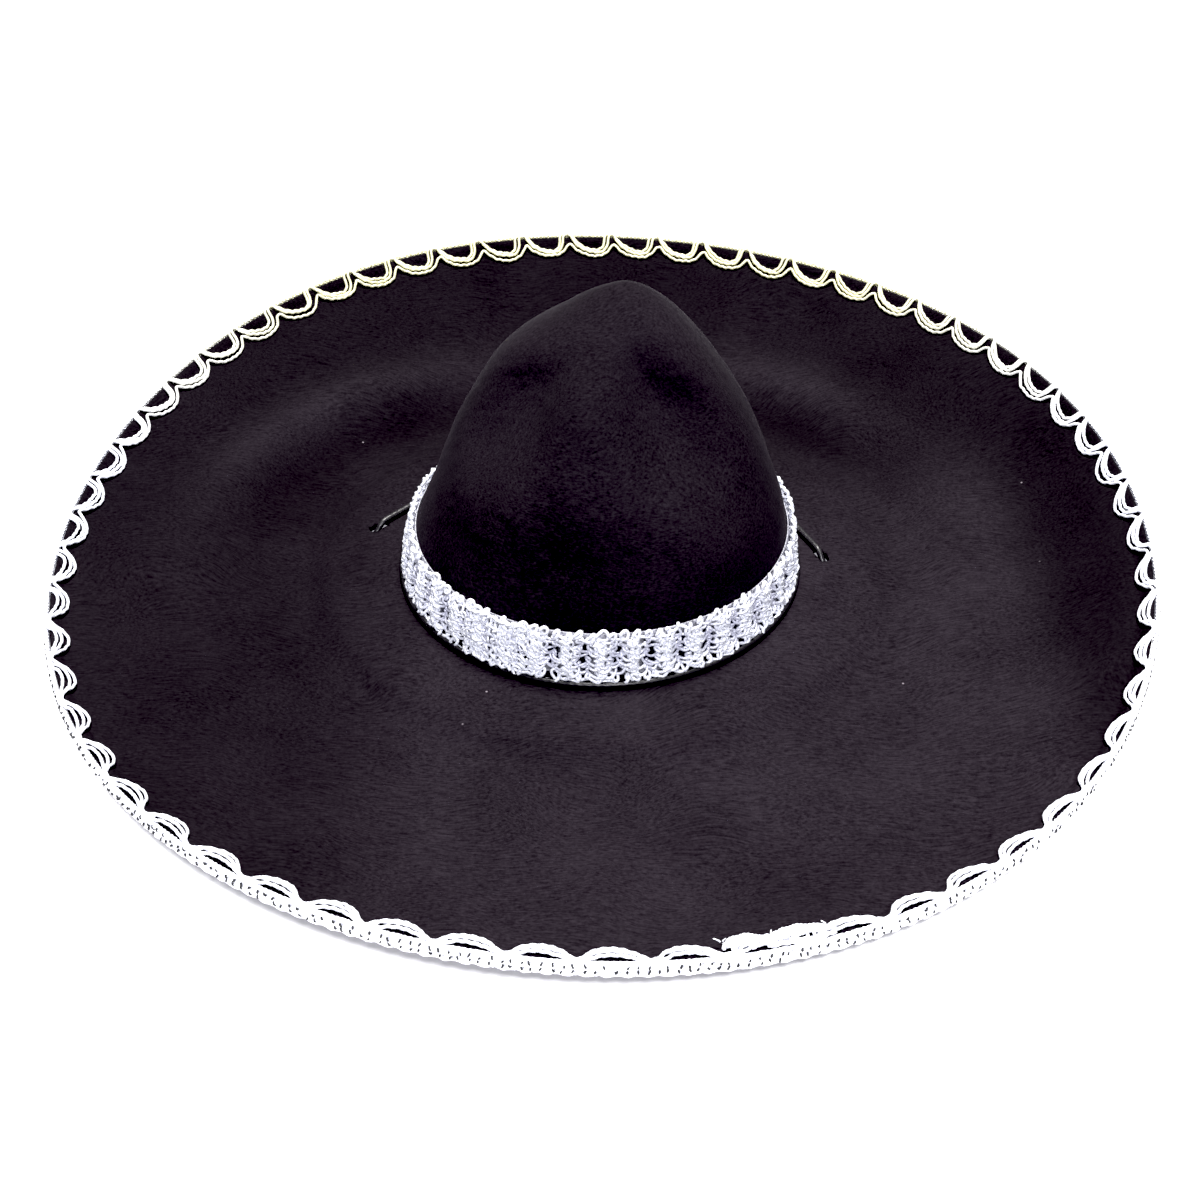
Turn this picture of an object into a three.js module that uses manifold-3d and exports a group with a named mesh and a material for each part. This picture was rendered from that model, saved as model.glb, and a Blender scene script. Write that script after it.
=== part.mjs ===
// Wide-brimmed costume sombrero of stiff black needle felt, lying on its brim.
//
// Millimetres, +Z up. The hat's front faces -Y, and the origin is on the table below the
// middle of the brim. The brim rests on a flat ring part of the way out. Inside that ring it
// is raised a little, which leaves room for the chin cord to run in under the crown.

import * as THREE from 'three';
import { mergeVertices } from 'three/addons/utils/BufferGeometryUtils.js';
import Module from 'manifold-3d';

const wasm = await Module();
wasm.setup();

// ---- Driving dimensions ----

const GAP = 0.3; // between pieces that touch
const FACET_GAP = 0.6; // the same, where curved faces have unlike facets
const FELT = 2.5; // thickness of the felt

const BRIM_RADIUS = 279.9; // outside of the braid round the rim
const FOOT_RAISE = 4.5; // underside of the brim above the table, next to the crown
const FOOT_RADIUS = 138; // the raised part ends here
const REST_INNER = 156; // the flat ring that the hat rests on
const REST_OUTER = 166;
const BRIM_CURVE = 1.45; // how late the brim turns up: 1 is a straight slope

const LIP_START = 273.5; // the last few millimetres of felt curl up at 45 degrees
const LIP_RISE = 4.7;
const LIP_TOP = LIP_RISE + 1.8;
const LIP_END = 278.2;

// Height of the rim's top edge round the brim: a mean, then cos and sin of 1, 2 and 3 turns.
const RIM_MEAN = 36.3;
const RIM_WAVES = [
  { cos: 2.6, sin: 19.9 },
  { cos: -3.4, sin: 1.3 },
  { cos: 3.8, sin: 2.0 },
];

const BRAID_THICKNESS = 1.2;
const BRAID_BELOW_EDGE = 8.5;
const BRAID_ABOVE_EDGE = 0.5;
const SCALLOPS = 60;
const SCALLOP_DEPTH = 6;
const SCALLOP_OUTER = 276.6;
const TRIM_THICKNESS = 0.9;

const CROWN_FOOT_RADIUS = 99.5;
const CROWN_FOOT_Z = FOOT_RAISE + FELT + GAP;
const CROWN_OUTLINE = [
  [CROWN_FOOT_RADIUS, CROWN_FOOT_Z],
  [95.5, 33.5],
  [85.5, 62.5],
  [73.3, 94.5],
  [53.7, 127],
  [32.8, 148],
  [17, 160.2],
  [7, 165.8],
  [0, 167.5],
];
const CROWN_STEPS = 11;
const LOWER_LEAN = { size: 3, from: 18, over: 45 }; // the crown leans to the right
const UPPER_LEAN = { size: 9, from: 122, over: 45 };
const PINCHES = [
  { angle: -55, z: 116, depth: 9, across: 22, along: 21 },
  { angle: -125, z: 116, depth: 9, across: 20, along: 23 },
];

const COLLAR_RADIUS = 96; // outside of the brim's turned-up inner edge
const COLLAR_TAPER = 1.8;
const COLLAR_HEIGHT = 13.5;
const SWEATBAND_THICKNESS = 0.7;
const SWEATBAND_BOTTOM = 8;
const SWEATBAND_TOP = 34;
const LABEL = { halfWidth: 19, bottom: 11, top: 33, thickness: 0.5 };

const BAND_BOTTOM = 11.2;
const BAND_TOP = 35.5;
const BAND_THICKNESS = 2.1;
const BAND_JOIN = { from: -128, to: -113, thickness: 1.4, inset: 1.5 };
const TRIM_JOIN = { from: -79, to: -72.5, thickness: 1.1, inner: 267.5, outer: 275.6 };

const CORD_RADIUS = 1.7;
const CORD_ON_BRIM = FOOT_RAISE + FELT + GAP + CORD_RADIUS; // centreline, lying on the brim
const CORD_ON_TABLE = CORD_RADIUS + 0.05;
const INNER_TURN = 103.2; // centreline radius of the cord against the crown
const OUTER_TURN = 107; // and of a second strand beside it, behind the crown
const LEFT_HOLE = new THREE.Vector2(-120, 28);
const RIGHT_HOLE = new THREE.Vector2(117, 2);
const HOLE_LENGTH = 11.6;
const HOLE_WIDTH = 4.8;
const HOLE_BACKWARD = 0.9; // the slot reaches further back, where the cord comes in from above

const SLIDER = { x: 14, length: 12, halfWidth: 6.7, halfHeight: 3.2, bore: 2.05 };
const STRAND_SPACING = 6;
const STRAND_Z = 3.4; // the two strands through the slider and into the knot
const KNOT = { from: -58.4, length: 13, halfWidth: 6.2, halfHeight: 3.9, rounding: 1.9 };

// ---- Small helpers ----

const radians = THREE.MathUtils.degToRad;

function smooth(share) {
  return THREE.MathUtils.smoothstep(share, 0, 1);
}

function polar(radius, degrees, z) {
  const angle = radians(degrees);
  return new THREE.Vector3(radius * Math.cos(angle), radius * Math.sin(angle), z);
}

// Shares corner points and turns the faces outwards.
function closed(geometry) {
  geometry.deleteAttribute('normal');
  geometry.deleteAttribute('uv');
  const merged = mergeVertices(geometry, 1e-3);
  const position = merged.attributes.position;
  const triangles = [];
  const corners = [new THREE.Vector3(), new THREE.Vector3(), new THREE.Vector3()];
  let volume = 0;
  for (let i = 0; i < merged.index.count; i += 3) {
    const [a, b, c] = [0, 1, 2].map((k) => merged.index.getX(i + k));
    if (a === b || b === c || c === a) continue;
    [a, b, c].forEach((index, k) => corners[k].fromBufferAttribute(position, index));
    volume += corners[0].dot(corners[1].clone().cross(corners[2]));
    triangles.push([a, b, c]);
  }
  const ordered = volume > 0 ? triangles : triangles.map(([a, b, c]) => [a, c, b]);
  merged.setIndex(ordered.flat());
  return merged;
}

// Moves every corner point of a closed body by a rule.
function reshape(geometry, rule) {
  const position = geometry.attributes.position;
  const point = new THREE.Vector3();
  for (let i = 0; i < position.count; i += 1) {
    point.fromBufferAttribute(position, i);
    const moved = rule(point);
    position.setXYZ(i, moved.x, moved.y, moved.z);
  }
  return geometry;
}

// A closed profile of [radius, height] points, turned about Z.
function turned(profile, segments) {
  const points = profile.map(([radius, z]) => new THREE.Vector2(radius, z));
  return closed(new THREE.LatheGeometry(points, segments).rotateX(Math.PI / 2));
}

function turnedRing(profile, segments) {
  return turned([...profile, profile[0]], segments);
}

// A closed profile of [radius, height] points, swept part of the way round Z.
function sector(profile, fromDegrees, toDegrees, steps) {
  const shape = new THREE.Shape(profile.map(([radius, z]) => new THREE.Vector2(radius, z)));
  const bar = new THREE.ExtrudeGeometry(shape, { depth: 1, steps, bevelEnabled: false });
  const bend = (p) => polar(p.x, THREE.MathUtils.lerp(fromDegrees, toDegrees, p.z), p.y);
  return closed(reshape(bar, bend));
}

function cordAlong(points, steps) {
  const section = new THREE.Shape();
  for (let k = 0; k < 8; k += 1) {
    const angle = (k / 8) * 2 * Math.PI;
    const corner = [CORD_RADIUS * Math.cos(angle), CORD_RADIUS * Math.sin(angle)];
    if (k === 0) section.moveTo(...corner);
    else section.lineTo(...corner);
  }
  const path = new THREE.CatmullRomCurve3(points);
  return closed(new THREE.ExtrudeGeometry(section, { steps, extrudePath: path, bevelEnabled: false }));
}

function toSolid(geometry) {
  const mesh = new wasm.Mesh({
    numProp: 3,
    vertProperties: new Float32Array(geometry.attributes.position.array),
    triVerts: new Uint32Array(geometry.index.array),
  });
  return new wasm.Manifold(mesh);
}

function toGeometry(solid) {
  const mesh = solid.getMesh();
  const geometry = new THREE.BufferGeometry();
  geometry.setAttribute('position', new THREE.BufferAttribute(mesh.vertProperties, 3));
  geometry.setIndex(new THREE.BufferAttribute(mesh.triVerts, 1));
  return geometry;
}

// ---- Brim ----

function rimTop(angle) {
  return RIM_WAVES.reduce(
    (height, wave, i) => height + wave.cos * Math.cos((i + 1) * angle) + wave.sin * Math.sin((i + 1) * angle),
    RIM_MEAN,
  );
}

function brimUnderside(radius, angle) {
  if (radius <= REST_OUTER) {
    return FOOT_RAISE * (1 - smooth((radius - FOOT_RADIUS) / (REST_INNER - FOOT_RADIUS)));
  }
  const share = Math.min(1, (radius - REST_OUTER) / (LIP_START - REST_OUTER));
  return (rimTop(angle) - LIP_TOP) * share ** BRIM_CURVE;
}

// Lifts a body drawn with the brim's underside at zero onto the real underside.
function ontoBrim(point) {
  const radius = Math.hypot(point.x, point.y);
  const lift = brimUnderside(radius, Math.atan2(point.y, point.x));
  return new THREE.Vector3(point.x, point.y, point.z + lift);
}

// The cord's straight run ends at its hole and slants down through it.
function slotThrough(hole, heading) {
  const slot = new THREE.Shape();
  const half = (HOLE_LENGTH - HOLE_WIDTH) / 2;
  slot.absarc(half, 0, HOLE_WIDTH / 2, -Math.PI / 2, Math.PI / 2, false);
  slot.absarc(-half, 0, HOLE_WIDTH / 2, Math.PI / 2, (3 * Math.PI) / 2, false);
  const prism = new THREE.ExtrudeGeometry(slot, { depth: 12, curveSegments: 6, bevelEnabled: false });
  prism.translate(-HOLE_BACKWARD, 0, 0);
  prism.rotateZ(Math.atan2(heading.y, heading.x));
  prism.translate(hole.x, hole.y, 0);
  return toSolid(closed(prism));
}

function brimFelt(leftHeading, rightHeading) {
  const radii = [97.5, 118, FOOT_RADIUS, 147, REST_INNER, REST_OUTER, 184, 206, 228, 250];
  const underside = [...radii, LIP_START].map((radius) => [radius, 0]);
  const top = [...radii, LIP_START - 1.4].map((radius) => [radius, FELT]).reverse();
  const lip = [[LIP_END, LIP_RISE], [LIP_END - 1.8, LIP_TOP]];
  const collar = [
    [COLLAR_RADIUS, FELT],
    [COLLAR_RADIUS - COLLAR_TAPER, COLLAR_HEIGHT],
    [COLLAR_RADIUS - COLLAR_TAPER - FELT, COLLAR_HEIGHT],
    [COLLAR_RADIUS - FELT, 1.8],
  ];
  const sheet = reshape(turnedRing([...underside, ...lip, ...top, ...collar], 72), ontoBrim);
  const holes = slotThrough(LEFT_HOLE, leftHeading).add(slotThrough(RIGHT_HOLE, rightHeading));
  return toGeometry(toSolid(sheet).subtract(holes));
}

// ---- Trim on the rim ----

function edgeBraid() {
  const inner = BRIM_RADIUS - BRAID_THICKNESS;
  const profile = [
    [inner, -BRAID_BELOW_EDGE],
    [BRIM_RADIUS, -BRAID_BELOW_EDGE],
    [BRIM_RADIUS, BRAID_ABOVE_EDGE],
    [inner, BRAID_ABOVE_EDGE],
  ];
  const lift = (p) => new THREE.Vector3(p.x, p.y, p.z + rimTop(Math.atan2(p.y, p.x)));
  return reshape(turnedRing(profile, 96), lift);
}

// How high the trim's underside is over the brim's underside.
function trimBed(radius) {
  const onLip = Math.max(0, radius - (LIP_START - 1.4));
  return FELT + FACET_GAP + onLip;
}

function scallopTrim() {
  const inner = LIP_START - 2.5;
  const radii = [inner, LIP_START - 1, SCALLOP_OUTER];
  const under = radii.map((radius) => [radius, trimBed(radius)]);
  const over = radii.map((radius) => [radius, trimBed(radius) + TRIM_THICKNESS]).reverse();
  const pushScallop = (p) => {
    const radius = Math.hypot(p.x, p.y);
    const angle = Math.atan2(p.y, p.x);
    const bulge = radius < inner + 0.5 ? SCALLOP_DEPTH * Math.abs(Math.sin((angle * SCALLOPS) / 2)) : 0;
    const scale = (radius - bulge) / radius;
    return ontoBrim(new THREE.Vector3(p.x * scale, p.y * scale, p.z));
  };
  return reshape(turnedRing([...under, ...over], 3 * SCALLOPS), pushScallop);
}

function trimOverlap() {
  const { inner, outer, thickness, from, to } = TRIM_JOIN;
  const lift = TRIM_THICKNESS + FACET_GAP;
  const radii = [inner, LIP_START - 1, outer];
  const under = radii.map((radius) => [radius, trimBed(radius) + lift]);
  const over = radii.map((radius) => [radius, trimBed(radius) + lift + thickness]).reverse();
  return reshape(sector([...under, ...over], from, to, 6), ontoBrim);
}

// ---- Crown ----

const crownCurve = new THREE.SplineCurve(CROWN_OUTLINE.map(([radius, z]) => new THREE.Vector2(radius, z)));
const crownOutside = crownCurve.getSpacedPoints(CROWN_STEPS);

function crownRadius(z) {
  const above = crownOutside.findIndex((p) => p.y >= z);
  const upper = crownOutside[Math.max(1, above)];
  const lower = crownOutside[Math.max(1, above) - 1];
  return THREE.MathUtils.mapLinear(z, lower.y, upper.y, lower.x, upper.x);
}

function crownLean(z) {
  const share = (lean) => lean.size * smooth((z - lean.from) / lean.over);
  return share(LOWER_LEAN) + share(UPPER_LEAN);
}

function pinchDepth(angle, z) {
  return PINCHES.reduce((sum, pinch) => {
    const turn = Math.atan2(Math.sin(angle - radians(pinch.angle)), Math.cos(angle - radians(pinch.angle)));
    const across = (turn * crownRadius(pinch.z)) / pinch.across;
    const along = (z - pinch.z) / pinch.along;
    return sum + pinch.depth * Math.exp(-across * across - along * along);
  }, 0);
}

function leaning(point) {
  return new THREE.Vector3(point.x + crownLean(point.z), point.y, point.z);
}

function crownShape(point) {
  const radius = Math.hypot(point.x, point.y);
  if (radius < 1) return leaning(point);
  const scale = 1 - pinchDepth(Math.atan2(point.y, point.x), point.z) / Math.max(radius, 25);
  return leaning(new THREE.Vector3(point.x * scale, point.y * scale, point.z));
}

function crownFelt() {
  const outside = crownOutside.map((p) => [p.x, p.y]);
  const last = crownOutside.length - 1;
  const inside = crownOutside.map((p, i) => {
    if (i === 0) return [p.x - FELT, p.y];
    if (i === last) return [0, p.y - FELT];
    const along = crownOutside[i + 1].clone().sub(crownOutside[i - 1]).normalize();
    return [p.x - FELT * along.y, p.y + FELT * along.x];
  });
  return reshape(turned([...inside.reverse(), ...outside], 48), crownShape);
}

function sweatbandRadius(z) {
  return Math.min(COLLAR_RADIUS - COLLAR_TAPER, crownRadius(z)) - FELT - FACET_GAP;
}

// A thin lining of the hat's opening, some way in from the sweatband's outside.
function liningProfile(inset, thickness, heights) {
  const outer = heights.map((z) => [sweatbandRadius(z) - inset, z]);
  const inner = heights.map((z) => [sweatbandRadius(z) - inset - thickness, z]).reverse();
  return [...outer, ...inner];
}

function sweatband() {
  const heights = [SWEATBAND_BOTTOM, FOOT_RAISE + COLLAR_HEIGHT, SWEATBAND_TOP];
  return reshape(turnedRing(liningProfile(0, SWEATBAND_THICKNESS, heights), 48), leaning);
}

function careLabel() {
  const { bottom, top, halfWidth, thickness } = LABEL;
  const spread = THREE.MathUtils.radToDeg(halfWidth / sweatbandRadius(top));
  const heights = [bottom, FOOT_RAISE + COLLAR_HEIGHT, top];
  const profile = liningProfile(SWEATBAND_THICKNESS + GAP, thickness, heights);
  return reshape(sector(profile, 90 - spread, 90 + spread, 5), leaning);
}

// ---- Band round the crown ----

function bandProfile(innerGap, thickness, bottom, top) {
  const heights = [bottom, (bottom + top) / 2, top];
  const inner = heights.map((z) => [crownRadius(z) + innerGap, z]);
  const outer = heights.map((z) => [crownRadius(z) + innerGap + thickness, z]).reverse();
  return [...inner, ...outer];
}

function hatBand() {
  return reshape(turnedRing(bandProfile(GAP, BAND_THICKNESS, BAND_BOTTOM, BAND_TOP), 48), leaning);
}

function hatBandOverlap() {
  const { from, to, thickness, inset } = BAND_JOIN;
  const gap = GAP + BAND_THICKNESS + GAP;
  const profile = bandProfile(gap, thickness, BAND_BOTTOM + inset, BAND_TOP - inset);
  return reshape(sector(profile, from, to, 4), leaning);
}

// ---- Chin cord ----

// Where a line from the hole touches the outer turn, on the back of the hat.
function tangentDegrees(hole, side) {
  const open = Math.acos(OUTER_TURN / hole.length());
  return THREE.MathUtils.radToDeg(hole.angle() + side * open);
}

function headingTo(hole, touch) {
  const start = polar(OUTER_TURN, touch, 0);
  return new THREE.Vector2(hole.x - start.x, hole.y - start.y).normalize();
}

// Heights of the cord where it slants down through a hole, against its way past the middle.
const DIP = [
  [-14, CORD_ON_BRIM],
  [-8, CORD_ON_BRIM],
  [-4.5, 8.75],
  [-2, 7.5],
  [0, 5.6],
  [1.8, 3.8],
];

function dipInto(hole, heading) {
  return DIP.map(([way, z]) => new THREE.Vector3(hole.x + heading.x * way, hole.y + heading.y * way, z));
}

// One and a half turns: from the left hole behind the crown, round the front, and behind the
// crown again to the right hole. The second strand crosses over the first one at the back.
function chinCordWrap(leftTouch, rightTouch, leftHeading, rightHeading) {
  const crossing = 90;
  const shift = (degrees) => smooth((crossing + 7 - degrees) / 14);
  const points = dipInto(LEFT_HOLE, leftHeading).reverse();
  for (let degrees = leftTouch; degrees > 0; degrees -= 6) {
    const radius = THREE.MathUtils.lerp(OUTER_TURN, INNER_TURN, shift(degrees));
    points.push(polar(radius, degrees, CORD_ON_BRIM));
  }
  for (let degrees = 0; degrees > -180; degrees -= 6) {
    points.push(polar(INNER_TURN, degrees, CORD_ON_BRIM));
  }
  for (let degrees = 180; degrees > rightTouch; degrees -= 5) {
    const radius = THREE.MathUtils.lerp(INNER_TURN, OUTER_TURN, shift(degrees));
    const hump = 1 - smooth((Math.abs(degrees - crossing) - 6) / 12);
    points.push(polar(radius, degrees, CORD_ON_BRIM + hump * (2 * CORD_RADIUS + 0.5)));
  }
  points.push(...dipInto(RIGHT_HOLE, rightHeading));
  return cordAlong(points, 140);
}

// Each free side lies on the table: out below its hole, round, and in under the raised brim.
const LEFT_ROUTE = [
  [-121.6, 26.3, 3.3],
  [-123.1, 24.7, 2.15],
  [-125.4, 22.0, CORD_ON_TABLE],
  [-127.6, 18.2, CORD_ON_TABLE],
  [-127.8, 13.4, CORD_ON_TABLE],
  [-125, 9.0, CORD_ON_TABLE],
  [-119.5, 6.8, CORD_ON_TABLE],
  [-111, 7.6, CORD_ON_TABLE],
  [-98, 12, CORD_ON_TABLE],
  [-85, 21, CORD_ON_TABLE],
  [-71, 36, CORD_ON_TABLE],
  [-53, 52, CORD_ON_TABLE],
  [-30, 62, CORD_ON_TABLE],
  [-4, 65, CORD_ON_TABLE],
  [22, 61, CORD_ON_TABLE],
  [44, 50, CORD_ON_TABLE],
  [57, 33, CORD_ON_TABLE],
  [56, 16, CORD_ON_TABLE],
  [45, 6.4, CORD_ON_TABLE],
  [33, 3.3, 2.2],
  [24, 3, 3.2],
  [19, 3, STRAND_Z],
  [0, 3, STRAND_Z],
  [-30, 3, STRAND_Z],
  [-58, 3, STRAND_Z],
];
const RIGHT_ROUTE = [
  [118.0, -0.15, 3.3],
  [118.9, -2.1, 2.15],
  [120.3, -5.4, CORD_ON_TABLE],
  [121.2, -9.8, CORD_ON_TABLE],
  [119.6, -14.4, CORD_ON_TABLE],
  [115.2, -17.3, CORD_ON_TABLE],
  [109, -18, CORD_ON_TABLE],
  [99, -18, CORD_ON_TABLE],
  [88, -21, CORD_ON_TABLE],
  [78, -30, CORD_ON_TABLE],
  [69, -43, CORD_ON_TABLE],
  [55, -56, CORD_ON_TABLE],
  [35, -66, CORD_ON_TABLE],
  [12, -70, CORD_ON_TABLE],
  [-8, -66, CORD_ON_TABLE],
  [-20, -54, CORD_ON_TABLE],
  [-16, -40, CORD_ON_TABLE],
  [-2, -33, CORD_ON_TABLE],
  [16, -31, CORD_ON_TABLE],
  [34, -29.5, CORD_ON_TABLE],
  [45, -25, CORD_ON_TABLE],
  [50, -16, CORD_ON_TABLE],
  [45.5, -7.4, CORD_ON_TABLE],
  [35, -3.6, 2.1],
  [24, -3, 3.2],
  [19, -3, STRAND_Z],
  [0, -3, STRAND_Z],
  [-30, -3, STRAND_Z],
  [-58, -3, STRAND_Z],
];

function freeCord(route, steps) {
  return cordAlong(route.map((point) => new THREE.Vector3(...point)), steps);
}

// A flat two-hole slider. Its bores run along X.
function cordSlider() {
  const { x, length, halfWidth, halfHeight, bore } = SLIDER;
  const straight = halfWidth - halfHeight;
  const outline = new THREE.Shape();
  outline.absarc(straight, 0, halfHeight, -Math.PI / 2, Math.PI / 2, false);
  outline.absarc(-straight, 0, halfHeight, Math.PI / 2, (3 * Math.PI) / 2, false);
  for (const side of [-1, 1]) {
    const hole = new THREE.Path();
    hole.absarc((side * STRAND_SPACING) / 2, 0, bore, 0, 2 * Math.PI, true);
    outline.holes.push(hole);
  }
  const block = new THREE.ExtrudeGeometry(outline, { depth: length, curveSegments: 8, bevelEnabled: false });
  const turn = (p) => new THREE.Vector3(x - length / 2 + p.z, p.x, STRAND_Z + p.y);
  return closed(reshape(block, turn));
}

// Both strands tied together in one overhand knot, with two short ends.
function cordKnot() {
  const { from, length, halfWidth, halfHeight, rounding } = KNOT;
  const section = new THREE.Shape();
  section.absellipse(0, 0, halfWidth - rounding, halfHeight - rounding, 0, 2 * Math.PI, false, 0);
  const body = new THREE.ExtrudeGeometry(section, {
    depth: length - 2 * rounding,
    curveSegments: 8,
    bevelThickness: rounding,
    bevelSize: rounding,
    bevelSegments: 2,
  });
  const turn = (p) => new THREE.Vector3(from - rounding - p.z, p.x, halfHeight + 0.1 + p.y);
  let solid = toSolid(closed(reshape(body, turn)));
  const back = from - length + 2;
  for (const side of [-1, 1]) {
    const end = [
      new THREE.Vector3(back, side * 2.2, STRAND_Z),
      new THREE.Vector3(back - 7, side * 3.6, 2.4),
      new THREE.Vector3(back - 17, side * 6.5, CORD_ON_TABLE),
    ];
    solid = solid.add(toSolid(cordAlong(end, 4)));
  }
  return toGeometry(solid);
}

// ---- Materials and assembly ----

const feltBlack = new THREE.MeshStandardMaterial({ color: 0x17141a, roughness: 0.95, metalness: 0 });
const tinsel = new THREE.MeshStandardMaterial({ color: 0xd9dade, roughness: 0.35, metalness: 0.8 });
const ribbonBlack = new THREE.MeshStandardMaterial({ color: 0x121214, roughness: 0.7, metalness: 0 });
const cordBlack = new THREE.MeshStandardMaterial({ color: 0x0e0e10, roughness: 0.45, metalness: 0 });
const plasticBlack = new THREE.MeshStandardMaterial({ color: 0x101012, roughness: 0.4, metalness: 0 });
const labelWhite = new THREE.MeshStandardMaterial({ color: 0xe9e8e4, roughness: 0.6, metalness: 0 });

const hat = new THREE.Group();

function add(name, geometry, material) {
  geometry.computeVertexNormals();
  const mesh = new THREE.Mesh(geometry, material);
  mesh.name = name;
  hat.add(mesh);
}

const leftTouch = tangentDegrees(LEFT_HOLE, -1);
const rightTouch = tangentDegrees(RIGHT_HOLE, 1);
const leftHeading = headingTo(LEFT_HOLE, leftTouch);
const rightHeading = headingTo(RIGHT_HOLE, rightTouch);

add('brim_felt', brimFelt(leftHeading, rightHeading), feltBlack);
add('crown_felt', crownFelt(), feltBlack);
add('sweatband', sweatband(), ribbonBlack);
add('care_label', careLabel(), labelWhite);
add('hat_band', hatBand(), tinsel);
add('hat_band_overlap', hatBandOverlap(), tinsel);
add('edge_braid', edgeBraid(), tinsel);
add('scallop_trim', scallopTrim(), tinsel);
add('trim_overlap', trimOverlap(), tinsel);
add('chin_cord_wrap', chinCordWrap(leftTouch, rightTouch, leftHeading, rightHeading), cordBlack);
add('chin_cord_left', freeCord(LEFT_ROUTE, 52), cordBlack);
add('chin_cord_right', freeCord(RIGHT_ROUTE, 54), cordBlack);
add('cord_slider', cordSlider(), plasticBlack);
add('cord_knot', cordKnot(), cordBlack);

export default hat;
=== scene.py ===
"""A wide-brimmed black costume sombrero: felt, silver trim and chin cord, built round the CAD frame.

Metres, +Z up, the hat's front faces -Y. Each piece of the CAD frame is replaced by a detailed one
in the same place.
"""

import math

import bmesh
import bpy
import numpy as np
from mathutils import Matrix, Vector


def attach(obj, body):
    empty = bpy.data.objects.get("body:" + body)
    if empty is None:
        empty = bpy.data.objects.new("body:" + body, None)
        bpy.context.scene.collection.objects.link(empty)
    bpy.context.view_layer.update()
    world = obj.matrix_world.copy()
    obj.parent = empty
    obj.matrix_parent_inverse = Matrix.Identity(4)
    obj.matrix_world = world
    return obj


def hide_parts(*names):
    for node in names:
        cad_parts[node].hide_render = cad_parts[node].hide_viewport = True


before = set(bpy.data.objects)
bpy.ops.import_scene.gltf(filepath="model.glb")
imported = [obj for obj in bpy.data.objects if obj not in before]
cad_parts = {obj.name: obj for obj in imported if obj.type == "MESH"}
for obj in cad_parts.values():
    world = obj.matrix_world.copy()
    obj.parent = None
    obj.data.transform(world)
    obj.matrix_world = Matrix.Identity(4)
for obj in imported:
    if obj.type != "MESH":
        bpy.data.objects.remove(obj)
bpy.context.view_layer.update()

MM = 0.001

# ---- Sizes shared with the CAD frame ----

FELT = 2.5 * MM
FOOT_RAISE = 4.5 * MM
FOOT_RADIUS = 138 * MM
REST_INNER = 156 * MM
REST_OUTER = 166 * MM
BRIM_CURVE = 1.45
HOLE_EDGE = 97.5 * MM

LIP_START = 273.5 * MM
LIP_BEND = 272.1 * MM
LIP_EDGE = 276.4 * MM  # the felt's top edge
LIP_END = 278.2 * MM
LIP_RISE = 4.7 * MM
LIP_TOP = 6.5 * MM
BRAID_RADIUS = 279.3 * MM  # middle of the braid's thickness
RIM_MEAN = 36.3 * MM
# The rim's rise and fall: cosine and sine parts that go round once, twice and three times.
RIM_WAVES = [(2.6 * MM, 19.9 * MM), (-3.4 * MM, 1.3 * MM), (3.8 * MM, 2.0 * MM)]

# The crown's radius and height, in millimetres.
CROWN_OUTLINE = [
    (99.5, 7.3), (95.5, 33.5), (85.5, 62.5), (73.3, 94.5), (53.7, 127),
    (32.8, 148), (17, 160.2), (7, 165.8), (0, 167.5),
]
LOWER_LEAN = (3 * MM, 18 * MM)  # how far the crown leans to the right, and from what height
UPPER_LEAN = (9 * MM, 122 * MM)
LEAN_OVER = 45 * MM

COLLAR_RADIUS = 96 * MM
COLLAR_TAPER = 1.8 * MM
COLLAR_TOP = 13.5 * MM
SWEATBAND_OUTER = 91.1 * MM
BAND_BOTTOM = 11.2 * MM
BAND_TOP = 35.5 * MM

CORD_RADIUS = 1.7 * MM
CORD_ON_BRIM = 9.0 * MM  # height of the cord's middle where it lies on the brim
CORD_ON_TABLE = 1.75 * MM
INNER_TURN = 103.2 * MM
OUTER_TURN = 107 * MM
LEFT_HOLE = (-120 * MM, 28 * MM)
RIGHT_HOLE = (117 * MM, 2 * MM)

TAU = 2 * math.pi
UP = np.array([0.0, 0.0, 1.0])


# ---- Numbers and curves ----


def smooth(share):
    share = np.clip(share, 0, 1)
    return share * share * (3 - 2 * share)


def unit(vectors):
    return vectors / np.maximum(np.linalg.norm(vectors, axis=-1, keepdims=True), 1e-12)


def angle_between(angle, centre):
    """How far an angle is from another, from -pi to pi."""
    return np.arctan2(np.sin(angle - centre), np.cos(angle - centre))


def polar(radius, angle, z, lean=0.0):
    """Points at a radius and direction from the hat's middle, at height z, shifted right by lean."""
    parts = np.broadcast_arrays(radius * np.cos(angle) + lean, radius * np.sin(angle), z)
    return np.stack(parts, axis=-1)


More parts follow.
